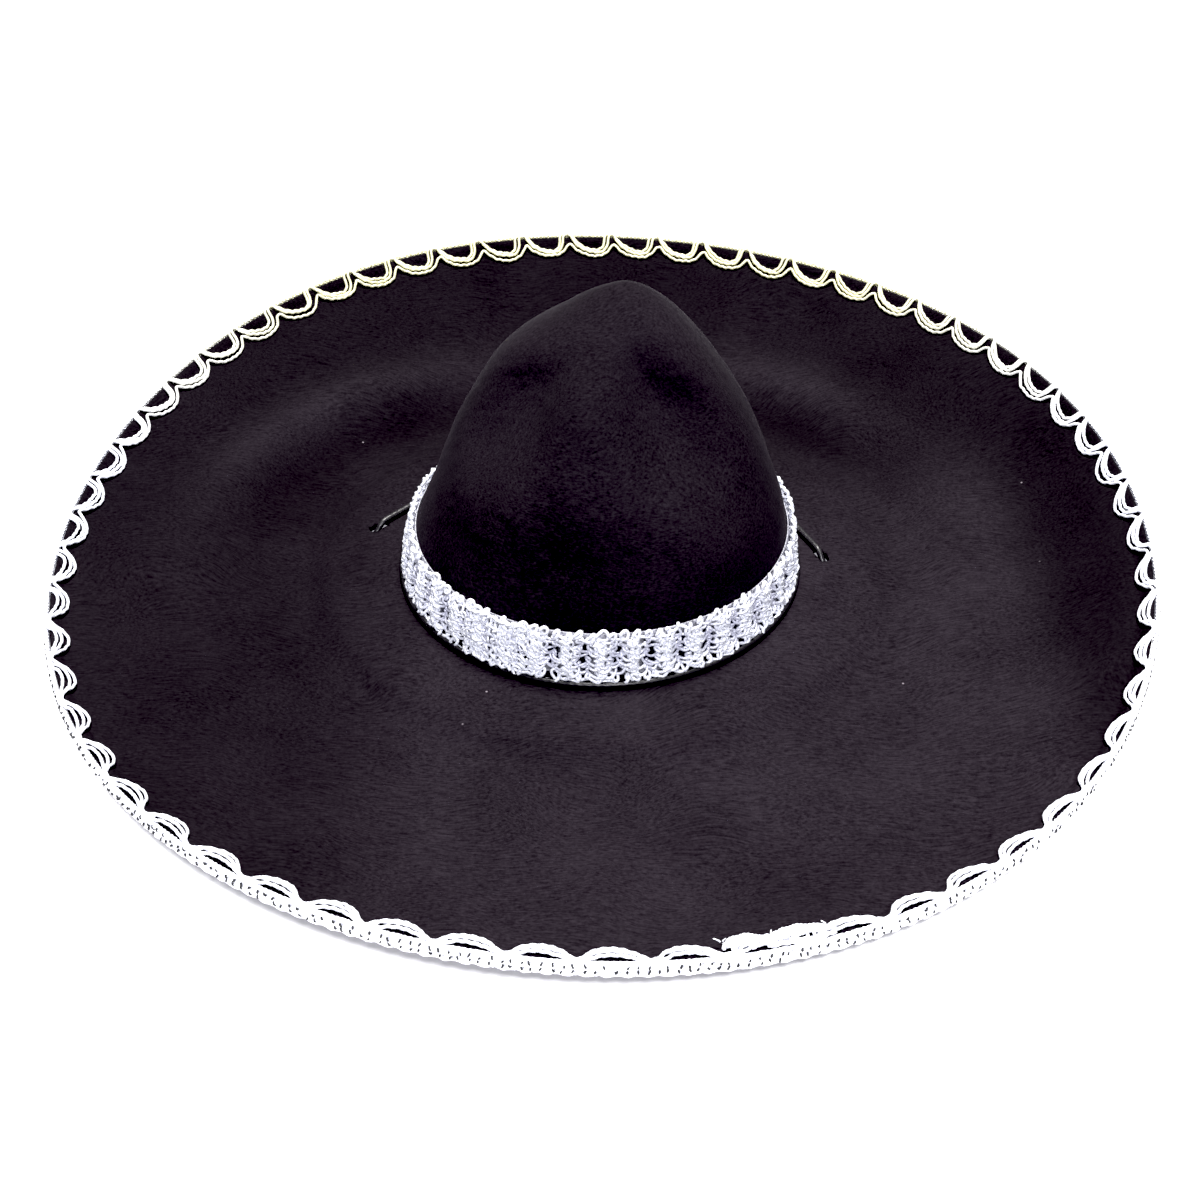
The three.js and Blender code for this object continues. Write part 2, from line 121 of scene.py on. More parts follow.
def spline(points, steps):
    """A centripetal Catmull-Rom curve through points, with steps places on it evenly apart."""
    points = np.asarray(points, float)
    ends = [2 * points[0] - points[1], *points, 2 * points[-1] - points[-2]]
    fine = []
    for p0, p1, p2, p3 in zip(ends, ends[1:], ends[2:], ends[3:]):
        t1 = math.sqrt(max(np.linalg.norm(p1 - p0), 1e-9))
        t2 = t1 + math.sqrt(max(np.linalg.norm(p2 - p1), 1e-9))
        t3 = t2 + math.sqrt(max(np.linalg.norm(p3 - p2), 1e-9))
        t = np.linspace(t1, t2, 17)[:-1, None]
        a1 = (t1 - t) / t1 * p0 + t / t1 * p1
        a2 = (t2 - t) / (t2 - t1) * p1 + (t - t1) / (t2 - t1) * p2
        a3 = (t3 - t) / (t3 - t2) * p2 + (t - t2) / (t3 - t2) * p3
        b1 = (t2 - t) / t2 * a1 + t / t2 * a2
        b2 = (t3 - t) / (t3 - t1) * a2 + (t - t1) / (t3 - t1) * a3
        fine.append((t2 - t) / (t2 - t1) * b1 + (t - t1) / (t2 - t1) * b2)
    return evenly(np.vstack([*fine, points[-1:]]), steps)


def along(path):
    """The distance from a path's start to each of its points."""
    return np.concatenate([[0], np.cumsum(np.linalg.norm(np.diff(path, axis=0), axis=1))])


def evenly(path, steps):
    """The same path as steps points, evenly apart."""
    distance = along(path)
    wanted = np.linspace(0, distance[-1], steps)
    return np.stack([np.interp(wanted, distance, path[:, k]) for k in range(path.shape[1])], axis=1)


def around(values, turn):
    """Random values, one for each curl, blended smoothly the whole way round."""
    spots = np.linspace(0, turn[-1], len(values))
    values = np.array(values)
    values[-1] = values[0]
    return np.interp(turn, spots, values)


def rounded_outline(corners, reach, step):
    """A closed outline with its corners rounded off, as points about a step apart."""
    corners = np.asarray(corners, float)
    outline = []
    for before, corner, after in zip(np.roll(corners, 1, 0), corners, np.roll(corners, -1, 0)):
        into, out = before - corner, after - corner
        cut_in = min(reach, 0.45 * np.linalg.norm(into))
        cut_out = min(reach, 0.45 * np.linalg.norm(out))
        start, end = corner + unit(into) * cut_in, corner + unit(out) * cut_out
        t = np.linspace(0, 1, 6)[:, None]
        outline.append((1 - t) ** 2 * start + 2 * t * (1 - t) * corner + t * t * end)
    rough = np.vstack(outline)
    rough = np.vstack([rough, rough[:1]])
    dense = []
    for a, b in zip(rough, rough[1:]):
        count = max(1, int(round(np.linalg.norm(b - a) / step)))
        dense.append(a + (b - a) * np.linspace(0, 1, count + 1)[:-1, None])
    return np.vstack(dense)


def ripples(seed, count, longest, shortest):
    """A smooth random height over the plane, from -1 to 1, as a function of x and y in metres."""
    random = np.random.default_rng(seed)
    turn = random.uniform(0, TAU, count)
    length = longest * (shortest / longest) ** random.uniform(0, 1, count)
    phase = random.uniform(0, TAU, count)
    wave_x, wave_y = TAU / length * np.cos(turn), TAU / length * np.sin(turn)

    def height(x, y):
        total = sum(np.sin(x * a + y * b + c) for a, b, c in zip(wave_x, wave_y, phase))
        return total / math.sqrt(2 * count)

    return height


# ---- Meshes ----


def grid_faces(rows, columns, wrap_rows, wrap_columns):
    i = np.arange(rows if wrap_rows else rows - 1)[:, None]
    j = np.arange(columns if wrap_columns else columns - 1)[None, :]
    corners = [(i, j), (i + 1, j), (i + 1, j + 1), (i, j + 1)]
    faces = np.stack([(a % rows) * columns + b % columns for a, b in corners], axis=-1).reshape(-1, 4)
    places = np.stack([np.stack(np.broadcast_arrays(a, b), -1) for a, b in corners], axis=-2)
    return faces, places.reshape(-1, 4, 2).astype(float)


class Shape:
    """Gathers grids into one mesh, with a UV map in metres and a tone for each point."""

    def __init__(self):
        self.points, self.faces, self.uvs, self.tones = [], [], [], []
        self.count = 0

    def grid(self, points, wrap=(False, False), size=(1, 1), tone=1.0, flip=False):
        """Adds a grid of quads. size is its UV size, and wrap says which ways it closes on itself."""
        rows, columns = points.shape[:2]
        faces, places = grid_faces(rows, columns, *wrap)
        uv = places * np.array([size[0] / max(rows - 1, 1), size[1] / max(columns - 1, 1)])
        if flip:
            faces, uv = faces[:, ::-1], uv[:, ::-1]
        self.points.append(points.reshape(-1, 3))
        self.faces.append(faces + self.count)
        self.uvs.append(uv)
        self.tones.append(np.broadcast_to(tone, (rows, columns)).ravel())
        self.count += rows * columns

    def cap(self, ring, outward):
        """Closes a tube's end with a low dome of quads."""
        middle = ring.mean(axis=0)
        inner = middle + (ring - middle) * 0.55 + outward * np.linalg.norm(ring[0] - middle) * 0.5
        tip = middle + (ring - middle) * 0.02 + outward * np.linalg.norm(ring[0] - middle) * 0.65
        self.grid(np.stack([ring, inner, tip]), wrap=(False, True))

    def tube(self, path, up, radius, sides=8, closed=False, ply=0.0, twist=5 * MM, tone=1.0, flat=1.0):
        """A tube round a path. ply is how deep its strands show, twist the length of one turn of them,
        and flat how thick it is along up for its width."""
        tangent = np.gradient(path, axis=0)
        if closed:
            tangent = np.roll(path, -1, axis=0) - np.roll(path, 1, axis=0)
        tangent = unit(tangent)
        side = unit(np.cross(tangent, up))
        lift = np.cross(side, tangent)
        turn = np.arange(sides) / sides * TAU
        distance = along(path)
        if closed:
            whole = distance[-1] + np.linalg.norm(path[0] - path[-1])
            twist = whole / max(1, round(whole / twist))
        swell = 1 + ply * np.cos(2 * (turn[None, :] - distance[:, None] / twist * TAU))
        radius = np.broadcast_to(radius, len(path))[:, None] * swell
        ring = (
            path[:, None]
            + side[:, None] * (radius * np.cos(turn))[..., None]
            + lift[:, None] * (radius * flat * np.sin(turn))[..., None]
        )
        if np.ndim(tone):
            tone = np.asarray(tone)[:, None]
        self.grid(ring, (closed, True), (distance[-1], TAU * CORD_RADIUS), tone)
        if not closed:
            self.cap(ring[0][::-1], -tangent[0])
            self.cap(ring[-1], tangent[-1])

    def build(self, name, material):
        """The mesh as an object in the scene."""
        points, faces = np.vstack(self.points), np.vstack(self.faces)
        mesh = bpy.data.meshes.new(name)
        mesh.vertices.add(len(points))
        mesh.vertices.foreach_set("co", points.ravel())
        mesh.loops.add(faces.size)
        mesh.loops.foreach_set("vertex_index", faces.ravel())
        mesh.polygons.add(len(faces))
        mesh.polygons.foreach_set("loop_start", np.arange(len(faces)) * 4)
        mesh.polygons.foreach_set("loop_total", np.full(len(faces), 4))
        mesh.update(calc_edges=True)
        mesh.validate()
        layer = mesh.uv_layers.new(name="UVMap")
        layer.data.foreach_set("uv", np.vstack(self.uvs).reshape(-1, 2).ravel())
        tone = mesh.attributes.new("tone", "FLOAT", "POINT")
        tone.data.foreach_set("value", np.concatenate(self.tones).astype(float))
        mesh.shade_smooth()
        mesh.materials.append(material)
        thing = bpy.data.objects.new(name, mesh)
        bpy.context.scene.collection.objects.link(thing)
        return thing


def edit_mesh(thing, change):
    """Runs change on a piece's mesh and turns all its faces outward."""
    body = bmesh.new()
    body.from_mesh(thing.data)
    change(body)
    bmesh.ops.recalc_face_normals(body, faces=body.faces)
    body.to_mesh(thing.data)
    body.free()
    return thing


def close_ends(thing, ring):
    """Fills a ringed body's two open ends with one face each."""

    def fill(body):
        edges = [edge for edge in body.edges if edge.is_boundary]
        bmesh.ops.holes_fill(body, edges=edges, sides=ring)

    return edit_mesh(thing, fill)


def weld(thing):
    """Joins the edges of a body made from several grids."""
    return edit_mesh(thing, lambda body: bmesh.ops.remove_doubles(body, verts=body.verts, dist=1e-6))


def piece(thing, slot, *nodes, body="hat"):
    """Rides a finished piece on its body and hides the CAD nodes it stands for."""
    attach(thing, body)
    if nodes:
        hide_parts(*nodes)
    return thing


# ---- Materials ----


class Shader:
    """A node material with short calls for the nodes this scene needs."""

    def __init__(self, name):
        self.material = bpy.data.materials.new(name)
        self.material.use_nodes = True
        self.tree = self.material.node_tree
        self.principled = self.tree.nodes["Principled BSDF"]

    def add(self, kind, settings=None, **inputs):
        node = self.tree.nodes.new(kind)
        for key, value in (settings or {}).items():
            setattr(node, key, value)
        for key, value in inputs.items():
            self.feed(node.inputs[key.replace("_", " ")], value)
        return node

    def feed(self, socket, value):
        if isinstance(value, bpy.types.NodeSocket):
            self.tree.links.new(value, socket)
        else:
            socket.default_value = value

    def set(self, **inputs):
        for key, value in inputs.items():
            self.feed(self.principled.inputs[key.replace("_", " ")], value)

    def first(self, kind, settings, *values):
        """The first output of a node whose inputs take these values in order."""
        node = self.add(kind, settings)
        for socket, value in zip(node.inputs, values):
            self.feed(socket, value)
        return node.outputs[0]

    def math(self, operation, *values):
        return self.first("ShaderNodeMath", {"operation": operation}, *values)

    def vector(self, operation, *values):
        return self.first("ShaderNodeVectorMath", {"operation": operation}, *values)

    def place(self):
        return self.add("ShaderNodeTexCoord").outputs["Object"]

    def uv(self):
        return self.add("ShaderNodeTexCoord").outputs["UV"]

    def tone(self):
        """The tone that Shape gave each point: painted light and shade on the felt and the lace."""
        return self.add("ShaderNodeAttribute", {"attribute_name": "tone"}).outputs["Fac"]

    def noise(self, vector, scale=1.0, detail=2.0, roughness=0.5):
        return self.add("ShaderNodeTexNoise", Vector=vector, Scale=scale, Detail=detail, Roughness=roughness)

    def remap(self, value, low, high, to_low=0.0, to_high=1.0):
        return self.first("ShaderNodeMapRange", None, value, low, high, to_low, to_high)

    def blend(self, share, first, second, mode="MIX"):
        node = self.add("ShaderNodeMix", {"data_type": "RGBA", "blend_type": mode})
        for socket, value in (("Factor", share), ("A", first), ("B", second)):
            self.feed(node.inputs[socket], value)
        return node.outputs["Result"]

    def bump(self, height, distance, strength=1.0):
        node = self.add("ShaderNodeBump", Height=height, Distance=distance, Strength=strength)
        self.set(Normal=node.outputs[0])


def swirled(shader, spread, size):
    """The object's own coordinates, pushed about so that fibres lie in slow swirls."""
    place = shader.place()
    noise = shader.noise(place, scale=1 / size, detail=1.5).outputs["Color"]
    push = shader.vector("MULTIPLY_ADD", noise, (spread,) * 3, (-spread / 2,) * 3)
    return shader.vector("ADD", place, push)


FELT_DARK = (0.0036, 0.0031, 0.0037, 1)
FELT_LIGHT = (0.0298, 0.0256, 0.0314, 1)
FELT_SHEEN = (0.86, 0.78, 0.92, 1)
LINT = (0.16, 0.14, 0.16, 1)
SWIRL_SIZE = 110 * MM


def felt_material(name, fibre_length, fibre_width, spread, relief):
    """Matted fibres over fine pile, in lighter and darker patches, with a few specks of lint."""
    shader = Shader(name)
    place = swirled(shader, spread, SWIRL_SIZE)
    stretch = (1 / fibre_length, 1 / fibre_width, 1 / fibre_width)
    fibres = shader.noise(shader.vector("MULTIPLY", place, stretch), detail=3, roughness=0.62).outputs[0]
    pile = shader.noise(shader.place(), scale=620, detail=2, roughness=0.6).outputs[0]
    patches = shader.noise(shader.place(), scale=16, detail=3, roughness=0.55).outputs[0]
    lie = shader.math("MULTIPLY_ADD", fibres, 0.65, shader.math("MULTIPLY", pile, 0.35))
    light = shader.remap(lie, 0.36, 0.66)
    worn = shader.remap(patches, 0.35, 0.68, 0.05, 0.20)
    share = shader.math("ADD", shader.math("MULTIPLY_ADD", light, 0.5, 0.14), worn)
    # The tone is painted light and shade on the brim and the crown.
    colour = shader.blend(shader.math("MULTIPLY", share, shader.tone()), FELT_DARK, FELT_LIGHT)
    specks = shader.add("ShaderNodeTexVoronoi", {"feature": "F1"}, Vector=shader.place(), Scale=95.0)
    lint = shader.remap(specks.outputs["Distance"], 0.035, 0.06, 1.0, 0.0)
    rare = shader.remap(specks.outputs["Color"], 0.86, 0.9)
    colour = shader.blend(shader.math("MULTIPLY", lint, rare), colour, LINT)
    shader.set(Base_Color=colour, Roughness=0.92, Specular_IOR_Level=0.06)
    shader.set(Sheen_Weight=0.015, Sheen_Roughness=0.4, Sheen_Tint=FELT_SHEEN)
    shader.bump(lie, relief, 0.8)
    return shader.material


SILVER_BRIGHT = (1.0, 1.0, 1.0, 1)
SILVER_DULL = (0.50, 0.49, 0.57, 1)
PAINTED_COOL_LIGHT = (0.86, 0.87, 0.93, 1)
PAINTED_WARM_LIGHT = (0.64, 0.62, 0.40, 1)
PAINTED_WARM_FROM = 0.06  # painted warm light: how far back it starts on the silver, and where it is warmest
PAINTED_WARM_TO = 0.22


def tinsel_material():
    """Foil-wrapped yarn: fine oblique windings with bright and dull flecks, painted cool light at the front
    and painted warm light at the back.
    """
    shader = Shader("silver_yarn")
    place = shader.place()
    diagonal = {"bands_direction": "DIAGONAL"}
    wave = shader.add("ShaderNodeTexWave", diagonal, Vector=shader.uv(), Scale=175.0, Distortion=3.0)
    windings = wave.outputs["Fac"]
    flecks = shader.noise(place, scale=1300, detail=1).outputs[0]
    share = shader.remap(shader.math("MULTIPLY_ADD", windings, 0.3, flecks), 0.3, 0.66)
    # The tone is painted shade on the lace's sunken yarn.
    colour = shader.blend(shader.math("MULTIPLY", share, shader.tone()), SILVER_DULL, SILVER_BRIGHT)
    # Painted light: the silver is tinted cool at the front and warm towards the back.
    towards_back = shader.add("ShaderNodeSeparateXYZ", Vector=place).outputs["Y"]
    painted_light_tint = shader.blend(shader.remap(towards_back, PAINTED_WARM_FROM, PAINTED_WARM_TO), PAINTED_COOL_LIGHT, PAINTED_WARM_LIGHT)
    shader.set(Base_Color=shader.blend(1.0, colour, painted_light_tint, "MULTIPLY"), Metallic=0.2)
    shader.set(Roughness=shader.remap(flecks, 0.3, 0.7, 0.22, 0.45))
    shader.bump(windings, 0.10 * MM, 0.5)
    return shader.material


LACE_HOLE_SHADE = (0.012, 0.012, 0.016, 1)
LACE_GAP_SHADE = (0.46, 0.46, 0.52, 1)


def lace_net_and_shade_material():
    """The lace's net, painted with shade: black in the open holes, silvery grey for the shade where the yarns
    crowd.
    """
    shader = Shader("lace_ground")
    fine = shader.noise(shader.place(), scale=900, detail=2).outputs[0]
    share = shader.math("MULTIPLY", shader.remap(fine, 0.25, 0.6), shader.tone())
    colour = shader.blend(share, LACE_HOLE_SHADE, LACE_GAP_SHADE)
    shader.set(Base_Color=colour, Metallic=0.3, Roughness=0.6)
    shader.bump(fine, 0.4 * MM)
    return shader.material


CORD_BLACK = [(0.009, 0.0085, 0.0095, 1), (0.026, 0.024, 0.028, 1)]
RIBBON_BLACK = [(0.006, 0.006, 0.007, 1), (0.022, 0.021, 0.024, 1)]
LABEL_WHITE = [(0.66, 0.64, 0.60, 1), (0.84, 0.83, 0.79, 1)]
PLASTIC_BLACK = [(0.006, 0.006, 0.007, 1), (0.016, 0.016, 0.018, 1)]
THREAD_BLACK = (0.02, 0.02, 0.022, 1)
THREAD_WHITE = (0.75, 0.74, 0.7, 1)


def cord_material():
    """Smooth round braid with a soft sheen."""
    shader = Shader("chin_cord")
    weave = shader.add("ShaderNodeTexWave", {"bands_direction": "DIAGONAL"}, Vector=shader.uv(), Scale=150.0)
    fuzz = shader.noise(shader.place(), scale=1500, detail=2).outputs[0]
    height = shader.math("MULTIPLY_ADD", fuzz, 0.4, weave.outputs["Fac"])
    shader.set(Base_Color=shader.blend(fuzz, *CORD_BLACK))
    shader.set(Roughness=shader.remap(fuzz, 0.3, 0.7, 0.3, 0.45))
    shader.bump(height, 0.12 * MM, 0.5)
    return shader.material


def woven_material(name, threads, colours, roughness, relief):
    """Fine threads, with threads to the metre each way."""
    shader = Shader(name)
    weave = shader.noise(shader.vector("MULTIPLY", shader.uv(), threads), detail=2).outputs[0]
    shader.set(Base_Color=shader.blend(weave, *colours), Roughness=roughness)
    shader.bump(weave, relief, 0.6)
    return shader.material


def ribbon_material():
    return woven_material("sweatband_ribbon", (2200, 500, 1), RIBBON_BLACK, roughness=0.62, relief=0.1 * MM)


def label_material():
    return woven_material("label_satin", (3500, 700, 1), LABEL_WHITE, roughness=0.42, relief=0.08 * MM)


def slider_material():
    """Moulded plastic, rubbed smoother in places."""
    shader = Shader("slider_plastic")
    grain = shader.noise(shader.place(), scale=2600, detail=2).outputs[0]
    rub = shader.noise(shader.place(), scale=160, detail=3).outputs[0]
    shader.set(Base_Color=shader.blend(rub, *PLASTIC_BLACK))
    shader.set(Roughness=shader.remap(rub, 0.3, 0.7, 0.28, 0.5))
    shader.bump(grain, 0.05 * MM, 0.5)
    return shader.material


def thread_material(name, colour):
    """Sewing thread, with painted shade between its strands as fine darker flecks."""
    shader = Shader(name)
    fine = shader.noise(shader.place(), scale=3000, detail=1).outputs[0]
    # Painted shade: half as light between the strands.
    darker = tuple(0.5 * channel for channel in colour[:3]) + (1,)
    shader.set(Base_Color=shader.blend(fine, darker, colour), Roughness=0.6)
    return shader.material


# ---- Camera, floor and light ----

CAMERA_DISTANCE = 0.868
CAMERA_ELEVATION = 37
CAMERA_AIM = FOOT_RAISE + 1 * MM
CAMERA_LENS = 49.37  # in the lens's own millimetres, on a sensor 36 of them wide
CAMERA_SENSOR = 36
CAMERA_SHIFT = -0.0328


def add_camera():
    lens = bpy.data.cameras.new("camera")
    lens.lens = CAMERA_LENS
    lens.sensor_width = CAMERA_SENSOR
    lens.shift_y = CAMERA_SHIFT
    lens.clip_start = 10 * MM
    camera = bpy.data.objects.new("camera", lens)
    slope = math.radians(CAMERA_ELEVATION)
    camera.location = (0, -CAMERA_DISTANCE * math.cos(slope), CAMERA_AIM + CAMERA_DISTANCE * math.sin(slope))
    camera.rotation_euler = (math.radians(90 - CAMERA_ELEVATION), 0, 0)
    bpy.context.scene.collection.objects.link(camera)
    bpy.context.scene.camera = camera


FLOOR_HALF = 8.0
FLOOR_DROP = 0.3 * MM
FLOOR_GLOW = 0.42  # the table glows a little, so the hat's shadow on it is pale
FLOOR_GLOW_COLOUR = (0.93, 0.92, 1.0, 1)


def add_floor():
    shape = Shape()
    side = np.linspace(-FLOOR_HALF, FLOOR_HALF, 9)
    x, y = np.meshgrid(side, side, indexing="ij")
    shape.grid(np.stack([x, y, np.full_like(x, -FLOOR_DROP)], axis=-1))
    shader = Shader("floor_paint")
    faint = shader.noise(shader.place(), scale=3, detail=2).outputs[0]
    colour = shader.blend(faint, (0.86, 0.86, 0.88, 1), (0.90, 0.90, 0.91, 1))
    shader.set(Base_Color=colour, Roughness=0.8)
    shader.set(Emission_Color=FLOOR_GLOW_COLOUR, Emission_Strength=FLOOR_GLOW)
    floor = shape.build("floor", shader.material)
    return floor


def add_lamp(name, place, aim, side, power, colour):
    """A square lamp that looks from its place to its aim."""
    lamp = bpy.data.lights.new(name, "AREA")
    lamp.shape = "RECTANGLE"
    lamp.size = lamp.size_y = side
    lamp.energy = power
    lamp.color = colour
    thing = bpy.data.objects.new(name, lamp)
    thing.location = place
    direction = Vector(aim) - Vector(place)
    thing.rotation_euler = direction.to_track_quat("-Z", "Y").to_euler()
    bpy.context.scene.collection.objects.link(thing)
    return thing


def light_only(lamp, things):
    """Makes a lamp light these things and no others."""
    lit = bpy.data.collections.new(f"lit_by_{lamp.name}")
    for thing in things:
        lit.objects.link(thing)
    lamp.light_linking.receiver_collection = lit


# Each lamp's place, aim, side in metres, power in watts and colour.
LAMPS = {
    "overhead": ((0.15, 0.8, 3.8), (0, 0.1, 0), 1.4, 430, (1.0, 0.985, 0.955)),
    "front": ((0.3, -2.4, 2.3), (0, 0, 0), 0.6, 97, (0.95, 0.95, 1.0)),
    "sparkle": ((-0.2, -2.4, 2.3), (0, 0, 0), 0.6, 60, (0.90, 0.93, 1.0)),
    "table": ((0.15, -1.55, 2.3), (0, 0, 0), 0.5, 125, (1, 1, 1)),
}
SKY_COLOUR = (0.90, 0.92, 1.0, 1)
SKY_STRENGTH = 0.10
BLACK_LEVEL = 0.030


def add_light(silver_pieces, floor):
    """A high soft lamp for everything, and one lamp each for the hat, its silver and the floor."""
    world = bpy.data.worlds.new("studio")
    world.use_nodes = True
    sky = world.node_tree.nodes["Background"].inputs
    sky["Color"].default_value = SKY_COLOUR
    sky["Strength"].default_value = SKY_STRENGTH
    bpy.context.scene.world = world
    lamps = {name: add_lamp(name, *settings) for name, settings in LAMPS.items()}
    light_only(lamps["sparkle"], silver_pieces)
    light_only(lamps["table"], [floor])
    hat = [thing for thing in bpy.data.objects if thing.type == "MESH" and thing != floor]
    light_only(lamps["front"], hat)
    view = bpy.context.scene.view_settings
    view.view_transform = "Standard"
    view.use_curve_mapping = True
    view.curve_mapping.black_level = (BLACK_LEVEL, BLACK_LEVEL, BLACK_LEVEL)
    view.curve_mapping.update()


# ---- Brim ----

BRIM_COLUMNS = 440


def rim_top(angle):
    """Height of the felt's edge all round."""
    height = RIM_MEAN
    for turns, (cos, sin) in enumerate(RIM_WAVES, start=1):
        height = height + cos * np.cos(turns * angle) + sin * np.sin(turns * angle)
    return height


# Where the brim breaks into its turn-up: direction, radius, height of the step, its spread and how
# much further out it runs with each degree.
BREAKS = [
    {"angle": 139, "radius": 206, "height": 9.5, "spread": 30, "drift": 0.45},
    {"angle": 52, "radius": 199, "height": 5.5, "spread": 25, "drift": -0.1},
]
STEP_RISE = 27 * MM  # from the valley inside a break out to its crest
STEP_FALL = 30 * MM
# A flat dip in the right side's turn-up.
FLAT_SIDE = {"angle": -8, "radius": 236, "width": 24, "depth": 4.5, "spread": 26}
WAVES_FROM = 170 * MM
WAVE_HEIGHT = 1.1 * MM
RELIEF_END = 268 * MM  # the felt lies to its plain shape from here out, under the loops

# Shallow creases pressed into the front of the brim, as points in the plan.
CREASES = [
    [(-92, -158), (-58, -166), (-20, -158), (12, -165), (46, -148), (84, -156)],
    [(70, -190), (98, -198), (124, -212), (158, -214)],
    [(118, -118), (150, -134), (186, -138)],
    [(-160, -110), (-132, -138), (-108, -172)],
]
CREASE_DEPTH = 0.55 * MM
CREASE_WIDTH = 2.6 * MM
DIMPLE_DEPTH = 0.14 * MM
MARKS_FROM = 110 * MM
MARKS_END = 262 * MM

# Painted shade on the turned-up felt: where it starts, measured from the middle, and over what distance it
# deepens.
PAINTED_SHADE_LEFT = (70 * MM, 80 * MM)
PAINTED_SHADE_BACK = (25 * MM, 90 * MM)
PAINTED_SHADE_RIGHT = (200 * MM, 40 * MM)

brim_waves = ripples(seed=3, count=9, longest=0.22, shortest=0.09)
felt_dimples = ripples(seed=11, count=26, longest=22 * MM, shortest=7 * MM)


def near_direction(angle, degrees, spread):
    """1 in a direction, falling off to the sides."""
    off = np.degrees(angle_between(angle, math.radians(degrees)))
    return np.exp(-((off / spread) ** 2))


def distance_to_line(x, y, line):
    """How far each place is from a line of points given in millimetres."""
    best = np.full(np.shape(x), 1.0)
    for (ax, ay), (bx, by) in zip(line, line[1:]):
        ax, ay, bx, by = ax * MM, ay * MM, bx * MM, by * MM
        length2 = (bx - ax) ** 2 + (by - ay) ** 2
        t = np.clip(((x - ax) * (bx - ax) + (y - ay) * (by - ay)) / length2, 0, 1)
        best = np.minimum(best, np.hypot(x - ax - t * (bx - ax), y - ay - t * (by - ay)))
    return best


def break_radius(each, angle):
    """How far out a break's crest is."""
    off = np.degrees(angle_between(angle, math.radians(each["angle"])))
    return (each["radius"] + each["drift"] * np.clip(off, -20, 20)) * MM


def brim_relief(radius, angle):
    """How far the real brim is off its plain dished shape. It fades out before the trim and the cord."""
    relief = 0
    for each in BREAKS:
        crest = break_radius(each, angle)
        step = smooth((radius - crest + STEP_RISE) / STEP_RISE) - smooth((radius - crest) / STEP_FALL)
        relief = relief + each["height"] * MM * step * near_direction(angle, each["angle"], each["spread"])
    dip = np.exp(-(((radius / MM - FLAT_SIDE["radius"]) / FLAT_SIDE["width"]) ** 2))
    side = near_direction(angle, FLAT_SIDE["angle"], FLAT_SIDE["spread"])
    relief = relief - FLAT_SIDE["depth"] * MM * dip * side
    x, y = radius * np.cos(angle), radius * np.sin(angle)
    relief = relief + WAVE_HEIGHT * brim_waves(x, y) * smooth((radius - WAVES_FROM) / (40 * MM))
    return relief * smooth((radius - REST_OUTER) / (12 * MM)) * smooth((RELIEF_END - radius) / (16 * MM))


def brim_marks(radius, angle):
    """Creases and small dimples in the felt's top."""
    x, y = radius * np.cos(angle), radius * np.sin(angle)
    marks = DIMPLE_DEPTH * felt_dimples(x, y)
    for line in CREASES:
        away = distance_to_line(x + 1.5 * MM * brim_waves(5 * x, 5 * y), y, line)
        marks = marks - CREASE_DEPTH * np.exp(-((away / CREASE_WIDTH) ** 2))
    return marks * smooth((MARKS_END - radius) / (20 * MM)) * smooth((radius - MARKS_FROM) / (15 * MM))


def brim_painted_light_and_shade(radius, angle):
    """Painted light and shade: shade on the turned-up left, back and right and in the valleys, a highlight
    along the crests.
    """
    x, y = radius * np.cos(angle), radius * np.sin(angle)
    sides = ((-x, PAINTED_SHADE_LEFT), (y, PAINTED_SHADE_BACK), (x, PAINTED_SHADE_RIGHT))
    left, back, right = (smooth((away - start) / width) for away, (start, width) in sides)
    # Painted shade where the brim turns up, and below a painted highlight on the crests and painted shade in
    # the valleys.
    turned_up_shade = 1 - (1 - left) * (1 - back) * (1 - right)
    crest_highlight_valley_shade = 0
    for each in BREAKS:
        inside = break_radius(each, angle) - radius
        crest = np.exp(-((inside / (15 * MM)) ** 2))
        valley = np.exp(-(((inside - STEP_RISE) / (13 * MM)) ** 2))
        side = near_direction(angle, each["angle"], each["spread"])
        crest_highlight_valley_shade = crest_highlight_valley_shade + (0.36 * crest - 0.22 * valley) * side
    return 1 - 0.40 * turned_up_shade - 0.06 * right + crest_highlight_valley_shade


def brim_underside(radius, angle):
    """Height of the felt's underside: up to its foot at the opening, flat where it rests, then turned up."""
    foot = FOOT_RAISE * (1 - smooth((radius - FOOT_RADIUS) / (REST_INNER - FOOT_RADIUS)))
    share = np.clip((radius - REST_OUTER) / (LIP_START - REST_OUTER), 0, 1)
    turn_up = (rim_top(angle) - LIP_TOP) * share**BRIM_CURVE
    return foot + turn_up + brim_relief(radius, angle)


def brim_section():
    """Radius and height over the underside, once round the felt."""
    corners = [
        (HOLE_EDGE, 0),
        (LIP_START, 0),
        (LIP_END, LIP_RISE),
        (LIP_EDGE, LIP_TOP),
        (LIP_BEND, FELT),
        (HOLE_EDGE + 2 * MM, FELT),
        (COLLAR_RADIUS, FELT + 1.5 * MM),
        (COLLAR_RADIUS - COLLAR_TAPER, COLLAR_TOP),
        (COLLAR_RADIUS - COLLAR_TAPER - FELT, COLLAR_TOP),
        (COLLAR_RADIUS - FELT, 1.8 * MM),
    ]
    return rounded_outline(corners, 1.3 * MM, 2.0 * MM)


SLOT_HALF = 3.4 * MM  # from the slot's middle to the centre of a rounded end
SLOT_RADIUS = 2.4 * MM
SLOT_SHIFT = 0.9 * MM  # towards the crown, where the cord comes from


